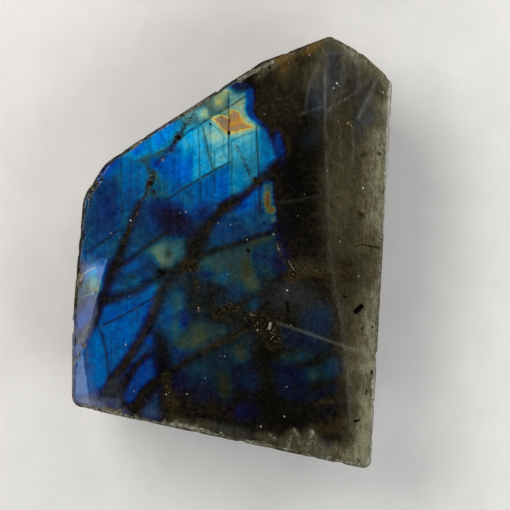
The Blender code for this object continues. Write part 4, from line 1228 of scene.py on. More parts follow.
class EffectShelf:
    """Builds each shared effect once and places it in the materials' trees."""

    def __init__(self) -> None:
        """Starts with no effect built."""
        self.built: dict[Effect, bpy.types.NodeTree] = {}

    def place(self, bench: Bench, effect: Effect, **feeds: Feed) -> bpy.types.bpy_prop_collection:
        """Puts an effect into a material.

        Args:
            bench: The material's bench.
            effect: Which effect.
            **feeds: What goes into its inputs, by name in lower case.

        Returns:
            The outputs of the group node.
        """
        if effect not in self.built:
            self.built[effect] = getattr(self, "_" + effect.name.lower())()
        named = {name.capitalize(): value for name, value in feeds.items()}
        return bench.put("Group", node_tree=self.built[effect], feeds=named).outputs

    def _group(self, effect: Effect, inputs: str, **outputs: str) -> tuple[Bench, Any, Finisher]:
        """Starts a node group.

        Args:
            effect: The effect that it makes.
            inputs: Its inputs' names, parted by spaces. Place, Start and End are vectors, the others numbers.
            **outputs: Its outputs' kinds, by name in lower case.

        Returns:
            Its bench, its inputs as sockets to draw from, and a function that joins its outputs by name in
            lower case and gives the finished tree.
        """
        tree = bpy.data.node_groups.new(effect.value, "ShaderNodeTree")
        sockets = [(label, "INPUT", "Vector" if label in ("Place", "Start", "End") else "Float")
                   for label in inputs.split()]
        sockets += [(label.capitalize(), "OUTPUT", kind) for label, kind in outputs.items()]
        for label, side, kind in sockets:
            tree.interface.new_socket(name=label, in_out=side, socket_type="NodeSocket" + kind)
        bench = Bench(tree)
        entry, leave = tree.nodes.new("NodeGroupInput"), tree.nodes.new("NodeGroupOutput")

        def finish(**results: Socket) -> NodeTree:
            """Joins the outputs by name and gives the tree."""
            bench.feed(leave, {label.capitalize(): value for label, value in results.items()})
            return tree

        return bench, entry.outputs, finish

    def _hairline(self) -> NodeTree:
        """A straight mark from one point to another, eased out past half its width, over the marks before it.

        Returns:
            The node group.
        """
        bench, given, finish = self._group(
            Effect.HAIRLINE, "Place Start End Width Depth Under", mask="Float")
        offset = bench.vector("SUBTRACT", given["Place"], given["Start"])
        span = bench.vector("SUBTRACT", given["End"], given["Start"])
        share = bench.math("DIVIDE", bench.vector("DOT_PRODUCT", offset, span, 1),
                           bench.vector("DOT_PRODUCT", span, span, 1))
        share = bench.math("MINIMUM", bench.math("MAXIMUM", share, 0.0), 1.0)
        gap = bench.vector("DISTANCE", offset, bench.vector("SCALE", span, share), 1)
        line = bench.eased(bench.math("DIVIDE", gap, given["Width"]), 0.1, 0.7, 1.0, 0.0)
        return finish(mask=bench.math("MAXIMUM", bench.times(line, given["Depth"]), given["Under"]))

    def _grain(self) -> NodeTree:
        """Mottling of the feldspar, and dark specks of other minerals in it.

        Returns:
            The node group.
        """
        bench, given, finish = self._group(Effect.GRAIN, "Place Pitch", mottle="Float", speck="Float")
        mottle = bench.noise(given["Place"], given["Pitch"], 6.0, 0.62, 0.4)
        gap, chances = bench.cells(given["Place"], bench.math("MULTIPLY", given["Pitch"], 1.2))
        speck = bench.times(bench.eased(chances[0], 0.84, 0.94), bench.eased(gap, 0.08, 0.34, 1.0, 0.0))
        return finish(mottle=bench.eased(mottle, 0.3, 0.72), speck=speck)

    def _stain(self) -> NodeTree:
        """Rust-brown iron stain: its mask, broken up by noise, where an amount lets it through.

        Returns:
            The node group.
        """
        bench, given, finish = self._group(Effect.STAIN, "Place Amount", mask="Float")
        patches = bench.noise(given["Place"], 0.42, 6.0, 0.65, 0.8)
        return finish(mask=bench.eased(bench.math("ADD", patches, given["Amount"]), 0.68, 1.38))

    def _crumb(self) -> NodeTree:
        """Dirt in patches with loose grains on it, thickest where the amount is large, and their height.

        Returns:
            The node group.
        """
        bench, given, finish = self._group(
            Effect.CRUMB, "Place Amount", colour="Color", mask="Float", height="Float")
        place, amount = given["Place"], given["Amount"]
        gap, chances = bench.cells(place, 2.3)
        apart = bench.times(gap, bench.eased(chances[2], 0.0, 1.0, 1.5, 0.6))
        many_here = bench.eased(bench.math("ADD", chances[1], bench.times(amount, 0.24)), 0.60, 0.80)
        dot = bench.times(bench.eased(apart, 0.10, 0.42, 1.0, 0.0), many_here, bench.eased(amount, 0.15, 0.6))
        reach = bench.math("ADD", bench.noise(place, 1.6, 5.0, 0.68), bench.times(amount, 0.34))
        dirt = bench.times(bench.eased(reach, 0.62, 0.78), bench.eased(amount, 0.04, 0.36), 0.86)
        return finish(colour=bench.painted(DIRT, (dot, bench.palette(chances[0], CRUMB_COLOURS))),
                      mask=bench.math("MAXIMUM", dirt, dot), height=dot)

    def _crust(self) -> NodeTree:
        """Powdery crust on a worn edge, thickest and palest where the amount is large, with its height.

        Returns:
            The node group.
        """
        bench, given, finish = self._group(
            Effect.CRUST, "Place Amount", colour="Color", mask="Float", height="Float")
        place, amount = given["Place"], given["Amount"]
        fine = bench.noise(place, 1.3, 6.0, 0.74)
        patchy = bench.noise(place, 0.75, 4.0, 0.62, 0.8)
        reach = bench.math("ADD", amount, bench.times(patchy, 1.4))
        tone = bench.math("ADD", bench.swayed(fine, 0.0, 0.74), bench.times(amount, 0.22))
        return finish(colour=bench.palette(tone, CRUST_COLOURS),
                      mask=bench.eased(reach, 0.98, 1.42, 0.0, 0.92), height=fine)

    def _dust(self) -> NodeTree:
        """Tiny bright specks of dust, thinly scattered.

        Returns:
            The node group.
        """
        bench, given, finish = self._group(Effect.DUST, "Place Pitch", mask="Float")
        gap, chances = bench.cells(given["Place"], given["Pitch"])
        dot = bench.eased(gap, 0.04, 0.13, 1.0, 0.0)
        return finish(mask=bench.times(bench.eased(chances[1], 0.90, 0.97), dot))


@dataclass(frozen=True)
class Hairline:
    """A fine mark on the face along a path, where a lamella or a cleavage comes out, a mote lies, or a
    highlight is painted.

    Attributes:
        path: The corners that it runs through, x and y by turns, in millimetres.
        width: Full width of the mark.
        depth: How strong the mark is.
    """

    path: Path
    width: float
    depth: float


def mote(x: float, y: float, size: float, depth: float) -> Hairline:
    """A short mark that is about as long as it is wide."""
    return Hairline((x, y, x + 0.3 * size, y - 0.5 * size), size, depth)


@dataclass(frozen=True)
class PolishedFeldspar:
    """The ground face: a dark, milky body under a clear polish, with the colour flash in it and painted sheen
    on parts of it.

    Attributes:
        lines: Marks that darken the flash.
        spots: Dark marks on the face.
        motes_and_glints: Pale scratches and specks, and painted glints: highlights painted along the rims and
            on the bevel at the left.
        dark: Darkest colour of the body, and of the spots.
        brown: Its paler colour.
        rust: Stain, in parts.
        olive: Stain in other parts, and the halo of the crumbs.
        amber: Stain where it is thick and lit through.
        slate: The cool grey patches.
        milk_and_sheen: Thin milkiness and painted sheen, and the pale speckle.
        frost_and_sheen: Thick milkiness and painted sheen.
        seam: The creases.
        painted_sheen: Colour of the pale blue painted sheen, a painted reflection of the lights on the bevel.
        dust: Colour of the specks of dust, and of the pale scratches, specks and painted highlights.
        cover: How fast the flash hides the body as it gets stronger.
        fibres: Threads of the body, along the stone.
        wisps: Wisps of the body, aslant.
        speckle: Its fine speckle.
        streaks: Streaks of the flash, along the lamellae.
        clefts: Streaks of the flash, along the cleavage.
        mottle: Wide mottling of both.
        fine: Fine mottling of both.
        grain_pitch: Lumps of the mineral grain in a millimetre.
        dust_pitch: Cells of the dust in a millimetre.
        coat_ior: Refractive index of the polish.
    """

    lines: tuple[Hairline, ...] = many(
        Hairline,
        # lamellae, that run along the stone
        ((-7.7, 29.5, -7.3, 25, -7.15, 20, -6.9, 15, -7, 11), 0.44, 0.7),
        ((-6.7, 28.2, -6, 25.4, -5.2, 22, -4.1, 17.9), 0.44, 0.72),
        ((-4.9, 29.8, -4.8, 28, -4.6, 20.5), 0.46, 0.5), ((-3.9, 22, -3.8, 13), 0.44, 0.66),
        ((-0.8, 35.3, -0.65, 31, -0.72, 26.2, -0.75, 19.6), 0.5, 0.85),
        ((-0.1, 24.4, -0.05, 12.4), 0.36, 0.62),
        ((5.4, 27.9, 5.55, 23, 5.85, 18, 6, 13, 6.3, 7.4), 0.5, 0.85),
        ((-4.5, 28.3, -2.5, 26.5, -1.7, 25, -1.9, 22.6, -1.2, 20.4), 0.32, 0.42),
        ((-18.1, 25.4, -18.1, 18.6), 0.95, 0.45), ((-15.1, 17.6, -15, 13.2), 0.5, 0.45),
        ((-24.7, 20.4, -24.3, 8.2), 0.95, 0.36), ((-16, 26.6, -15.2, 24.8), 0.4, 0.5),
        ((-10, 25.2, -9.4, 23), 0.34, 0.34),
        ((-30, -15.4, -28.6, -18.4, -27.8, -22, -27.3, -26, -27, -29.4), 0.75, 0.8),
        ((-26.7, -16, -26.6, -28), 0.4, 0.45), ((-21.2, -12.4, -20.6, -15, -20, -17.6), 0.4, 0.45),
        ((-32.2, -20.5, -31.8, -28.6), 0.6, 0.55), ((1.1, 5.8, 0.2, 3.6), 0.5, 0.35),
        ((-19.4, 20.3, -18.8, 18.9, -18.2, 17.6), 0.46, 0.6), ((-17.2, 17.4, -18, 16, -18.5, 15), 0.95, 0.72),
        ((-18.5, 14.4, -19.4, 12.2), 0.6, 0.66), ((-18.1, 14.4, -17.3, 12.8), 0.55, 0.62),
        ((-9.6, 28.8, -10.6, 27.4, -11.8, 25.4, -12.8, 24), 0.8, 0.5),
        # cleavages, that run across it
        ((2.8, 34.4, 0.5, 32.8, -0.7, 32.1, -2.8, 30.7, -4.2, 30.2, -7.5, 27.9, -10, 26.3, -11.4, 25.2),
            0.58, 0.78), ((-13, 23.6, -17, 21.5, -20.5, 19.2, -23.4, 17.2), 0.7, 0.34),
        ((5.2, 26.8, 3, 26, 0.5, 24.9, -2, 23.5, -4.3, 22.2), 0.42, 0.5),
        ((-0.5, 19.8, -4.2, 18, -8, 15.8, -10.5, 14.2, -14.4, 11.6), 0.62, 0.85),
        ((-24.2, 5.2, -27, 3.5, -30, 1.5, -32.4, -0.2), 0.85, 0.62), ((-26, 0.2, -31, -1.8), 0.6, 0.35),
        ((-3.2, 11.1, -5, 10.2, -7.4, 8.7), 0.55, 0.6),
        ((-17, -9.9, -19.8, -11.5, -24, -14, -28.3, -16), 0.62, 0.8),
        ((4.9, -15, 2, -17.2, -1.2, -19), 0.6, 0.6), ((-18.4, -1.4, -15.9, -4.4), 0.45, 0.6),
        ((-0.2, 30.4, -2.4, 30.7), 0.4, 0.5), ((-2.6, 31.6, -2.3, 29.6), 0.36, 0.5),
    )
    spots: tuple[Hairline, ...] = many(
        Hairline,
        ((4.9, -14.8, 2.4, -16.9, 0.2, -18.4), 0.45, 0.85), ((5, -14.2, 6.4, -12.4, 8.2, -11), 0.55, 0.85),
        ((-0.6, -10.4, 0.8, -11.8, 2.2, -13.2, 4.6, -13.9), 0.45, 0.8), ((28, 8.6, 28.8, 8), 1.5, 0.62),
        ((27.2, 1.3, 28.6, 1.7), 0.55, 0.6), ((28.6, 1.7, 30.4, 1.3, 32.4, 1), 0.65, 0.75),
        ((27.5, -13, 28.5, -12), 1.45, 1.6), ((27.1, -37.3, 27.6, -37.3, 28.1, -37), 0.6, 1.4),
        ((27.7, -45.6, 28.2, -46.6, 29.1, -47.1), 0.36, 0.9), ((30.8, -26.4, 30.8, -26.8), 0.6, 1.2),
        ((29.6, -30.6, 29.6, -31.4), 0.5, 0.8), ((31, -16.4, 31, -16.6), 0.55, 1),
        ((28.7, -16.8, 28.7, -17), 0.52, 0.9), ((29, 21.3, 29.4, 21.6), 1.2, 0.66),
        ((32.4, 21.8, 32.7, 21.6), 0.95, 0.75), ((24.5, -38.8, 24.6, -39), 0.7, 0.6),
        ((26.2, -40.2, 26.2, -40.6), 0.5, 0.7), ((24.6, -9.8, 25.2, -10), 0.75, 0.8),
        ((-30.2, -8.7, -30.1, -8.9), 0.62, 1.2), ((12.2, -11.2, 12.3, -13), 0.9, 0.9),
        ((-15.9, -4.2, -15.2, -4.6), 1.2, 1.2), ((-9.4, -3, -8.8, -3.6), 1.3, 1),
        ((-4.8, 28.3, -4.7, 28.2), 0.6, 1), ((-0.75, 26.5, -0.7, 26.1), 0.7, 1.3),
        ((8.1, 41, 8.3, 40.9), 0.8, 1.2), ((3.4, 0.6, 3.6, 0.2), 0.8, 1), ((5.2, 16, 6.2, 15.4), 1.4, 1.2),
        ((-11.9, 25.5, -11.7, 25), 0.9, 1.4), ((-18.1, 15.5, -17.7, 15.2), 0.9, 1.2),
        ((-22.6, 5, -23.4, 3.4), 0.6, 1.2), ((-19, -18, -18.2, -17, -17.5, -16.2), 0.48, 1.1),
    )
    motes_and_glints: tuple[Hairline, ...] = (
        *many(
            mote,
            (-26.8, 4.3, 0.21, 0.5), (-22.4, 7.1, 0.28, 0.75), (-10.2, 9, 0.25, 0.6),
            (-11.5, 8.8, 0.23, 0.45), (-23.5, -20.3, 0.37, 0.55), (-21.7, -30.7, 0.26, 0.5),
            (-14.6, -31.3, 0.26, 0.7), (-10, -31.3, 0.26, 0.6), (-6, -27.8, 0.21, 0.42),
            (-1.6, -22.9, 0.23, 0.45), (-2.6, -22.9, 0.19, 0.3), (6.4, -38.4, 0.28, 0.8),
            (11.6, -36.2, 0.28, 0.6), (12.1, -8.3, 0.33, 0.85), (25.5, 28.6, 0.26, 0.6),
            (26.3, 28, 0.22, 0.45), (-15.4, 20.5, 0.45, 0.24), (5.6, -17.1, 0.3, 0.55), (9.2, 4.1, 0.3, 0.66),
            (10.2, 0.9, 0.26, 0.55), (3.4, 2.9, 0.23, 0.55), (-0.4, 6.1, 0.23, 0.5), (23.1, 37.4, 0.35, 0.95),
            (22.5, 36.4, 0.3, 0.7), (23.6, 36.8, 0.23, 0.4), (28.9, 14.3, 0.3, 0.95), (33.7, 17.6, 0.35, 0.8),
            (33.4, 35.5, 0.3, 0.7), (21, 18, 0.21, 0.4), (27.9, -5.3, 0.3, 0.4), (23.8, 2.4, 0.35, 0.26),
            (17, 43.6, 0.25, 0.5), (-7.4, -12.3, 0.28, 0.55), (-7.3, -12.9, 0.22, 0.4),
            (5.9, 38.9, 0.32, 0.3), (-3.5, 28, 0.19, 0.3), (12, -29.7, 0.23, 0.4),
        ),
        *many(
            Hairline,
            ((10, 1.6, 10.3, 0.9, 10.5, 0.2), 0.24, 0.16), ((12.5, -2, 13.2, -3, 13.8, -4), 0.22, 0.18),
            # pale lines along the lower right rim, the bevel at the left and the right rim: painted
            # highlights where these rims catch the light
            ((31.4, -28.4, 31.35, -32), 0.9, 0.44), ((31.6, -24.4, 31.4, -28.4), 0.45, 0.3),
            ((31.2, -33, 30.9, -40, 30.7, -45, 30.1, -46.7), 0.6, 0.34),
            ((-33.5, -6.2, -33, -4.9, -32, -4.1, -30.3, -3.4), 0.55, 0.3),
            ((-33, -10, -31.4, -9.2, -30.3, -8.6), 0.4, 0.16),
            ((35, 37.4, 34.6, 30, 34.3, 20, 33.9, 10, 33.7, 4), 0.8, 0.6),
            ((8.45, -15.8, 8.25, -16.9), 0.6, 0.3), ((4.1, -13.7, 4.5, -13.9), 0.6, 0.16),
        ),
    )
    dark: Colour = (0.0016, 0.0014, 0.0010)
    brown: Colour = (0.0125, 0.0100, 0.0052)
    rust: Colour = (0.030, 0.0152, 0.0038)
    olive: Colour = (0.031, 0.0240, 0.0082)
    amber: Colour = (0.125, 0.067, 0.014)
    slate: Colour = (0.020, 0.029, 0.040)
    milk_and_sheen: Colour = (0.151, 0.130, 0.067)
    frost_and_sheen: Colour = (0.195, 0.186, 0.118)
    seam: Colour = (0.170, 0.175, 0.155)
    painted_sheen: Colour = (0.130, 0.160, 0.270)
    dust: Colour = (0.60, 0.60, 0.54)
    cover: float = 2.4
    fibres: Texture = Texture((2.6, 0.22, 1.0), 5.0, 0.65, turn=3.0)
    wisps: Texture = Texture((1.5, 0.20, 1.0), 5.0, 0.65, 0.6, -24.0)
    speckle: Texture = Texture(3.0, 3.0, 0.7)
    streaks: Texture = Texture((1.4, 0.08, 1.0), 5.0, 0.6, turn=2.0)
    clefts: Texture = Texture((0.16, 1.3, 1.0), 5.0, 0.62, turn=-29.0)
    mottle: Texture = Texture(0.45, 5.0, 0.6, 0.5)
    fine: Texture = Texture(1.5, 5.0, 0.65)
    grain_pitch: float = 0.9
    dust_pitch: float = 0.62
    coat_ior: float = 1.55

    def marks(self, bench: Bench, shelf: EffectShelf, place: Socket, lines: tuple[Hairline, ...]) -> Socket:
        """The strongest of a set of fine marks at each place.

        Args:
            bench: The material's bench.
            shelf: The shared effects.
            place: The place on the face, in millimetres, with no height.
            lines: The marks.

        Returns:
            How strong they are.
        """
        mask: Feed = 0.0
        for line in lines:
            corners = [(x, y, 0.0) for x, y in unrolled(line.path).tolist()]
            for start, end in zip(corners, corners[1:]):
                mask = shelf.place(bench, Effect.HAIRLINE, place=place, start=start, end=end,
                                   width=line.width, depth=line.depth, under=mask)["Mask"]
        return mask

    def body(self, bench: Bench, shelf: EffectShelf, place: Socket, mottle: Socket) -> Socket:
        """The colour of the stone without its flash: dark feldspar, stained, slaty and milky in parts, with
        sheen painted on the right side and on the bevel at the left.

        Args:
            bench: The material's bench.
            shelf: The shared effects.
            place: The place on the stone, in millimetres.
            mottle: The wide mottling.

        Returns:
            The colour.
        """
        grain = shelf.place(bench, Effect.GRAIN, place=place, pitch=self.grain_pitch)
        fibres, wisps, speckle = (
            noise.over(bench, place) for noise in (self.fibres, self.wisps, self.speckle))
        texture = bench.times(bench.swayed(fibres, 0.76, 1.24), bench.swayed(wisps, 0.80, 1.20),
                              bench.swayed(mottle, 0.80, 1.20), bench.swayed(speckle, 0.78, 1.22, 0.16))
        earth = bench.field("earth")
        stain = shelf.place(bench, Effect.STAIN, place=place, amount=earth)["Mask"]
        golden = bench.times(bench.eased(earth, 0.66, 0.96), bench.eased(wisps, 0.30, 0.56))
        soil = bench.painted(self.rust, (bench.eased(mottle, 0.4, 0.6), self.olive), (golden, self.amber))
        veil = bench.times(bench.field("veil"), texture)
        return bench.painted(
            self.dark,
            (bench.times(grain["Mottle"], bench.field("body"), texture), self.brown),
            (bench.times(stain, texture), soil),
            (bench.times(bench.field("slate"), texture), self.slate),
            # the veil: milkiness with painted sheen of the lights over the right side
            (veil, bench.painted(self.milk_and_sheen, (bench.eased(veil, 0.35, 0.95), self.frost_and_sheen))),
            (bench.times(bench.field("crease"), texture), self.seam),
            # painted sheen: a pale blue reflection of the lights painted on the bevel at the left
            (bench.times(bench.field("painted_sheen"), texture), self.painted_sheen),
            (bench.eased(speckle, 0.58, 0.74, 0.0, 0.20), self.milk_and_sheen),
            (bench.times(grain["Speck"], 0.6), self.dark),
        )

    def material(self, shelf: EffectShelf) -> bpy.types.Material:
        """Builds the finish.

        Args:
            shelf: The shared effects.

        Returns:
            The material.
        """
        material, bench, shader, place = new_material("polished_labradorite")
        wander = bench.put("TexNoise", {"Vector": place, "Scale": 0.55, "Detail": 3.0}).outputs["Color"]
        nudge = bench.vector("SCALE", bench.vector("SUBTRACT", wander, (0.5, 0.5, 0.5)), 0.55)
        flat = bench.drawn_out(bench.vector("ADD", place, nudge), (1.0, 1.0, 0.0))
        streaks, clefts, mottle, fine = (
            noise.over(bench, place) for noise in (self.streaks, self.clefts, self.mottle, self.fine))
        lines, spots, motes_and_glints = (
            self.marks(bench, shelf, flat, marks) for marks in (self.lines, self.spots, self.motes_and_glints))
        edge, crumbly = bench.field("edge"), bench.field("crumb")

        # the flash, over the body that it hides
        spacing = bench.math("ADD", bench.field("flash_spacing"), bench.swayed(mottle, -0.035, 0.035, 0.25))
        spacing = bench.math("ADD", spacing, bench.swayed(fine, -0.018, 0.018, 0.25))
        sways = ((streaks, 0.76, 1.22), (clefts, 0.80, 1.18), (mottle, 0.84, 1.14), (fine, 0.88, 1.12))
        strength = bench.times(
            bench.field("flash_strength"), bench.less(bench.times(edge, 0.85)),
            bench.less(bench.times(lines, bench.eased(fine, 0.3, 0.6, 0.45, 1.0))),
            *(bench.swayed(noise, low, high, 0.25) for noise, low, high in sways))
        strength = bench.math("MINIMUM", strength, 1.0)
        hidden = bench.math("MINIMUM", bench.times(strength, self.cover), 1.0)
        under = bench.painted(self.body(bench, shelf, place, mottle), (hidden, BLACK))
        flash = bench.vector("SCALE", bench.palette(spacing, FLASH_COLOURS), strength)

        # what lies on the face
        halo = bench.times(bench.eased(crumbly, 0.04, 0.75), bench.eased(fine, 0.35, 0.6, 0.16, 0.66))
        crumb = shelf.place(bench, Effect.CRUMB, place=place, amount=crumbly)
        worn = bench.math("MAXIMUM", bench.field("crust"), bench.times(edge, 0.42))
        crust = shelf.place(bench, Effect.CRUST, place=place, amount=worn)
        dust = bench.times(shelf.place(bench, Effect.DUST, place=place, pitch=self.dust_pitch)["Mask"], 0.32)
        # pale scratches and specks, with painted highlights along the rims and on the bevel at the left
        glints = bench.times(motes_and_glints, bench.eased(fine, 0.3, 0.6, 0.5, 1.0))
        clear = bench.times(bench.less(crust["Mask"]), bench.less(crumb["Mask"]), bench.less(edge))
        height = bench.math("ADD", *(bench.times(loose["Mask"], loose["Height"]) for loose in (crumb, crust)))
        # the polish is a little rougher where the sheen is painted
        haze = bench.times(bench.field("painted_sheen"), 0.16)
        bench.feed(shader, {
            "Base Color": bench.painted(
                bench.vector("ADD", under, flash), (spots, self.dark), (halo, self.olive),
                (crumb["Mask"], crumb["Colour"]), (crust["Mask"], crust["Colour"]),
                (bench.math("MAXIMUM", dust, glints), self.dust)),
            "Metallic": bench.times(strength, clear, 0.2),
            "Roughness": bench.eased(clear, 0.0, 1.0, 0.75, 0.45),
            "Specular IOR Level": 0.0,
            "Coat Weight": bench.times(clear, bench.swayed(mottle, 0.75, 1.0)),
            "Coat Roughness": bench.math("ADD", bench.swayed(fine, 0.02, 0.05), haze),
            "Coat IOR": self.coat_ior,
            "Normal": bench.bump(height, 0.5, 0.25),
        })
        return material


@dataclass(frozen=True)
class BrokenRock:
    """The broken sides and back: grey feldspar with dark grains, pale worn edges, rust and dull blue glints.

    Attributes:
        dark: Colour of the dark grains and of the hollows.
        grey: Colour of the feldspar.
        rust: Colour of the stain.
        glint: Colour of the glints.
        broad: Wide patches.
        fine: Fine grain.
        planes: Patches along the lamellae.
        cleft: Patches along the cleavage.
        stained: Where the stain lies.
        pits: The small relief.
        grain_pitch: Lumps of the mineral grain in a millimetre.
    """

    dark: Colour = (0.016, 0.016, 0.013)
    grey: Colour = (0.150, 0.155, 0.128)
    rust: Colour = (0.15, 0.078, 0.028)
    glint: Colour = (0.010, 0.075, 0.22)
    broad: Texture = Texture(0.16, 5.0, 0.6, 0.6)
    fine: Texture = Texture(2.6, 5.0, 0.7)
    planes: Texture = Texture((0.5, 0.16, 0.9), 3.0, 0.5, turn=8.0)
    cleft: Texture = Texture((0.35, 0.35, 2.2), 5.0, 0.65, 0.3)
    stained: Texture = Texture(0.13, 3.0, 0.5)
    pits: Texture = Texture(1.1, 8.0, 0.72)
    grain_pitch: float = 0.65

    def material(self, shelf: EffectShelf) -> bpy.types.Material:
        """Builds the finish.

        Args:
            shelf: The shared effects.

        Returns:
            The material.
        """
        material, bench, shader, place = new_material("broken_labradorite")
        grain = shelf.place(bench, Effect.GRAIN, place=place, pitch=self.grain_pitch)
        broad, fine, planes, cleft, stained, pits = (
            noise.over(bench, place)
            for noise in (self.broad, self.fine, self.planes, self.cleft, self.stained, self.pits))
        tone = bench.times(grain["Mottle"], bench.eased(planes, 0.38, 0.60, 0.45, 1.35),
                           bench.eased(cleft, 0.34, 0.58, 0.50, 1.25), bench.swayed(fine, 0.70, 1.30))
        worn = bench.eased(bench.field("wear"), 0.35, 0.95, 0.0, 0.9)
        worn = bench.math("MAXIMUM", bench.times(worn, bench.swayed(broad, 0.4, 1.0)), bench.field("crust"))
        crust = shelf.place(bench, Effect.CRUST, place=place, amount=worn)
        glints = bench.times(bench.eased(broad, 0.56, 0.66), bench.eased(fine, 0.42, 0.56),
                             bench.eased(cleft, 0.40, 0.55))
        patches = bench.eased(stained, 0.52, 0.75, 0.0, 0.66)
        stain = shelf.place(bench, Effect.STAIN, place=place, amount=patches)["Mask"]
        crumb = shelf.place(bench, Effect.CRUMB, place=place, amount=bench.eased(fine, 0.5, 0.8, 0.0, 0.5))
        height = bench.math("ADD", pits, bench.times(crumb["Height"], 0.3))
        bench.feed(shader, {
            "Base Color": bench.painted(
                self.dark, (tone, self.grey), (bench.times(crust["Mask"], 0.8), crust["Colour"]),
                (bench.times(glints, 0.7), self.glint), (bench.times(stain, 0.8), self.rust),
                (bench.times(grain["Speck"], 0.8), self.dark),
                (bench.times(crumb["Mask"], 0.6), crumb["Colour"])),
            "Metallic": bench.times(glints, 0.4),
            "Roughness": bench.swayed(fine, 0.45, 0.85),
            "Normal": bench.bump(height, 0.9, 0.6),
        })
        return material


def new_material(name: str) -> tuple[bpy.types.Material, Bench, bpy.types.Node, Socket]:
    """Starts a material.

    Args:
        name: Its name.

    Returns:
        The material, its bench, its Principled BSDF, and the place on the piece in millimetres.
    """
    material = bpy.data.materials.new(name)
    material.use_nodes = True
    bench = Bench(material.node_tree)
    place = bench.vector("SCALE", bench.put("TexCoord").outputs["Object"], 1.0 / MM)
    return material, bench, material.node_tree.nodes["Principled BSDF"], place


# ---------------------------------------------------------------- the dressed stone


@dataclass
class Chunk:
    """The stone: its skin, the fields on it, and its two finishes.

    Attributes:
        skin: How the skin is made.
        schiller: Where the face flashes.
        clouding: Where it is milky, stained or dark, and where sheen is painted on it.
        face: Finish of the polished face.
        rock: Finish of the broken sides and back.
    """

    skin: StoneSkin = field(default_factory=StoneSkin)
    schiller: Schiller = field(default_factory=Schiller)
    clouding: Clouding = field(default_factory=Clouding)
    face: PolishedFeldspar = field(default_factory=PolishedFeldspar)
    rock: BrokenRock = field(default_factory=BrokenRock)

    def dress(self, stone: bpy.types.Object, shelf: EffectShelf) -> None:
        """Keeps the fields on the skin and gives each part of it its finish.

        Args:
            stone: The skin.
            shelf: The shared effects.
        """
        mesh = stone.data
        points = np.empty(len(mesh.vertices) * 3, dtype=np.float32)
        mesh.vertices.foreach_get("co", points)
        places = points.reshape(-1, 3)[:, :2].astype(float) / MM
        polish = self.skin.polish
        spacing, strength = self.schiller.flash(places)
        fields = {
            "flash_spacing": spacing,
            "flash_strength": strength * polish,
            "crumb": self.schiller.crumbs(places),
            "wear": self.skin.wear,
            "edge": self.skin.edge,
            **self.clouding.fields(places),
        }
        for name, values in fields.items():
            keep_field(mesh, name, values)
        mesh.materials.append(self.face.material(shelf))
        mesh.materials.append(self.rock.material(shelf))
        corners = np.empty(len(mesh.loops), dtype=np.int32)
        mesh.loops.foreach_get("vertex_index", corners)
        first = np.empty(len(mesh.polygons), dtype=np.int32)
        mesh.polygons.foreach_get("loop_start", first)
        broken = polish[corners[first]] < 0.5
        mesh.polygons.foreach_set("material_index", broken.astype(np.int32))

    def build(self, solid: bpy.types.Object, shelf: EffectShelf) -> bpy.types.Object:
        """Makes the stone and ties it to the frame.

        Args:
            solid: The frame's solid.
            shelf: The shared effects.

        Returns:
            The finished stone.
        """
        stone = self.skin.build(solid)
        self.dress(stone, shelf)
        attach(stone, "root")
        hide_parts(STONE)
        return stone


# ---------------------------------------------------------------- the studio


@dataclass(frozen=True)
class Softbox:
    """A rectangular light that aims at the stone.

    Attributes:
        name: Its name.
        bearing: Compass bearing from +X, in degrees.
        height: Angle above the floor, in degrees.
        distance: Distance from the stone, in millimetres.
        size: Width and height of the panel.
        power: In watts.
        colour: Its tint.
    """

    name: str
    bearing: float
    height: float
    distance: float
    size: tuple[float, float]
    power: float
    colour: Colour = (1.0, 1.0, 1.0)

    def build(self, aim: Array) -> bpy.types.Object:
        """Makes the light.

        Args:
            aim: The point that it faces, in metres.

        Returns:
            The light.
        """
        light = bpy.data.lights.new(self.name, "AREA")
        light.shape = "RECTANGLE"
        light.size, light.size_y = (side * MM for side in self.size)
        light.energy = self.power
        light.color = self.colour
        lamp = bpy.data.objects.new(self.name, light)
        bpy.context.scene.collection.objects.link(lamp)
        bearing, height = np.radians(self.bearing), np.radians(self.height)
        out = np.array([np.cos(height) * np.cos(bearing), np.cos(height) * np.sin(bearing), np.sin(height)])
        lamp.location = aim + out * self.distance * MM
        lamp.rotation_euler = (np.pi / 2 - height, 0.0, bearing + np.pi / 2)
        return lamp


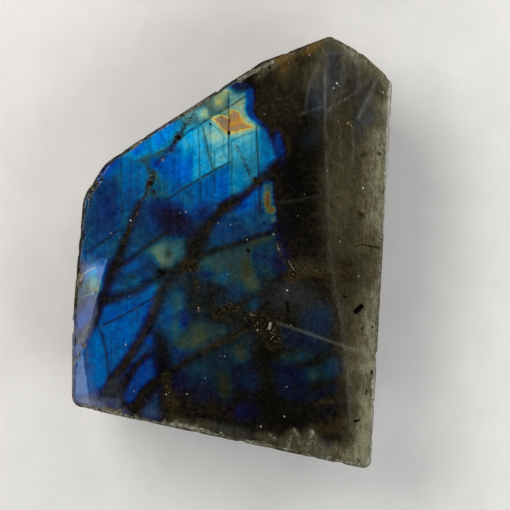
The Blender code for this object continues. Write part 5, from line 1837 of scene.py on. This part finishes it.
@dataclass(frozen=True)
class Studio:
    """A plain pale floor, soft lights low round the stone, and a camera that looks straight down on it.

    The sky above the camera stays dark, so that the polished face mirrors little but the two panels whose
    reflections lie on its ground facets.

    Attributes:
        picture_side: Side of the square picture, in pixels.
        pixel: Size of a pixel at the height of the face, in millimetres.
        middle: What the picture's centre shows.
        face_height: Height of the polished face.
        camera_height: Height of the camera above the face.
        floor_side: Side of the floor.
        floor_colour: Its colour.
        floor_mottle: Its faint mottling.
        sky_colour: Colour of the sky.
        sky: Brightness of the sky.
        softboxes: The lights.
    """

    picture_side: int = 510
    pixel: float = 0.2209
    middle: Point = (5.08, -0.62)
    face_height: float = 24.5
    camera_height: float = 620.0
    floor_side: float = 6000.0
    floor_colour: Colour = (0.74, 0.725, 0.70)
    floor_mottle: Texture = Texture(0.09, 6.0, 0.6)
    sky_colour: Colour = (0.93, 0.96, 1.0)
    sky: float = 0.02
    softboxes: tuple[Softbox, ...] = (
        Softbox("key_panel", 140.0, 42.0, 900.0, (700.0, 500.0), 6.6, (1.0, 0.97, 0.93)),
        Softbox("fill_panel", -35.0, 38.0, 900.0, (700.0, 500.0), 3.8, (0.94, 0.97, 1.0)),
        Softbox("front_panel", -110.0, 34.0, 900.0, (800.0, 400.0), 3.0),
        Softbox("back_panel", 60.0, 34.0, 900.0, (800.0, 400.0), 3.0),
        Softbox("left_facet_panel", 176.1, 59.1, 713.0, (95.0, 80.0), 0.068, (0.90, 0.96, 1.0)),
        Softbox("heel_facet_panel", 197.9, 63.0, 687.0, (60.0, 60.0), 0.040, (0.80, 0.90, 1.0)),
    )

    def build(self) -> None:
        """Makes the floor, the lights, the sky and the camera."""
        bpy.ops.mesh.primitive_plane_add(size=self.floor_side * MM)
        floor = bpy.context.object
        floor.name = "floor"
        material, bench, shader, place = new_material("pale_floor")
        tone = bench.swayed(self.floor_mottle.over(bench, place), 0.97, 1.03)
        bench.feed(shader, {"Base Color": bench.vector("SCALE", self.floor_colour, tone), "Roughness": 0.7})
        floor.data.materials.append(material)
        for softbox in self.softboxes:
            softbox.build(np.array([0.0, 0.0, self.face_height * MM]))
        world = bpy.data.worlds.new("studio_sky")
        world.use_nodes = True
        sky = Bench(world.node_tree)
        sky.feed(world.node_tree.nodes["Background"], {"Color": self.sky_colour, "Strength": self.sky})
        bpy.context.scene.world = world
        self.camera()

    def camera(self) -> bpy.types.Object:
        """The camera straight above, with the lens that spans the picture at the face's height.

        Returns:
            The camera.
        """
        data = bpy.data.cameras.new("camera")
        data.lens = data.sensor_width * self.camera_height / (self.picture_side * self.pixel)
        data.clip_start, data.clip_end = 0.01, 20.0
        camera = bpy.data.objects.new("camera", data)
        bpy.context.scene.collection.objects.link(camera)
        height = self.face_height + self.camera_height
        camera.location = [distance * MM for distance in (*self.middle, height)]
        bpy.context.scene.camera = camera
        return camera


def main() -> None:
    logging.basicConfig(level=logging.INFO, format="%(name)s: %(message)s")
    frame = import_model()
    scene = bpy.context.scene
    scene.view_settings.view_transform = "Standard"
    shelf = EffectShelf()
    stone = Chunk().build(frame["nodes"][STONE], shelf)
    log.info("%s: %d points, %d faces", stone.name, len(stone.data.vertices), len(stone.data.polygons))
    Studio().build()
    log.info("studio: floor, lights and camera")


if __name__ == "__main__":
    main()
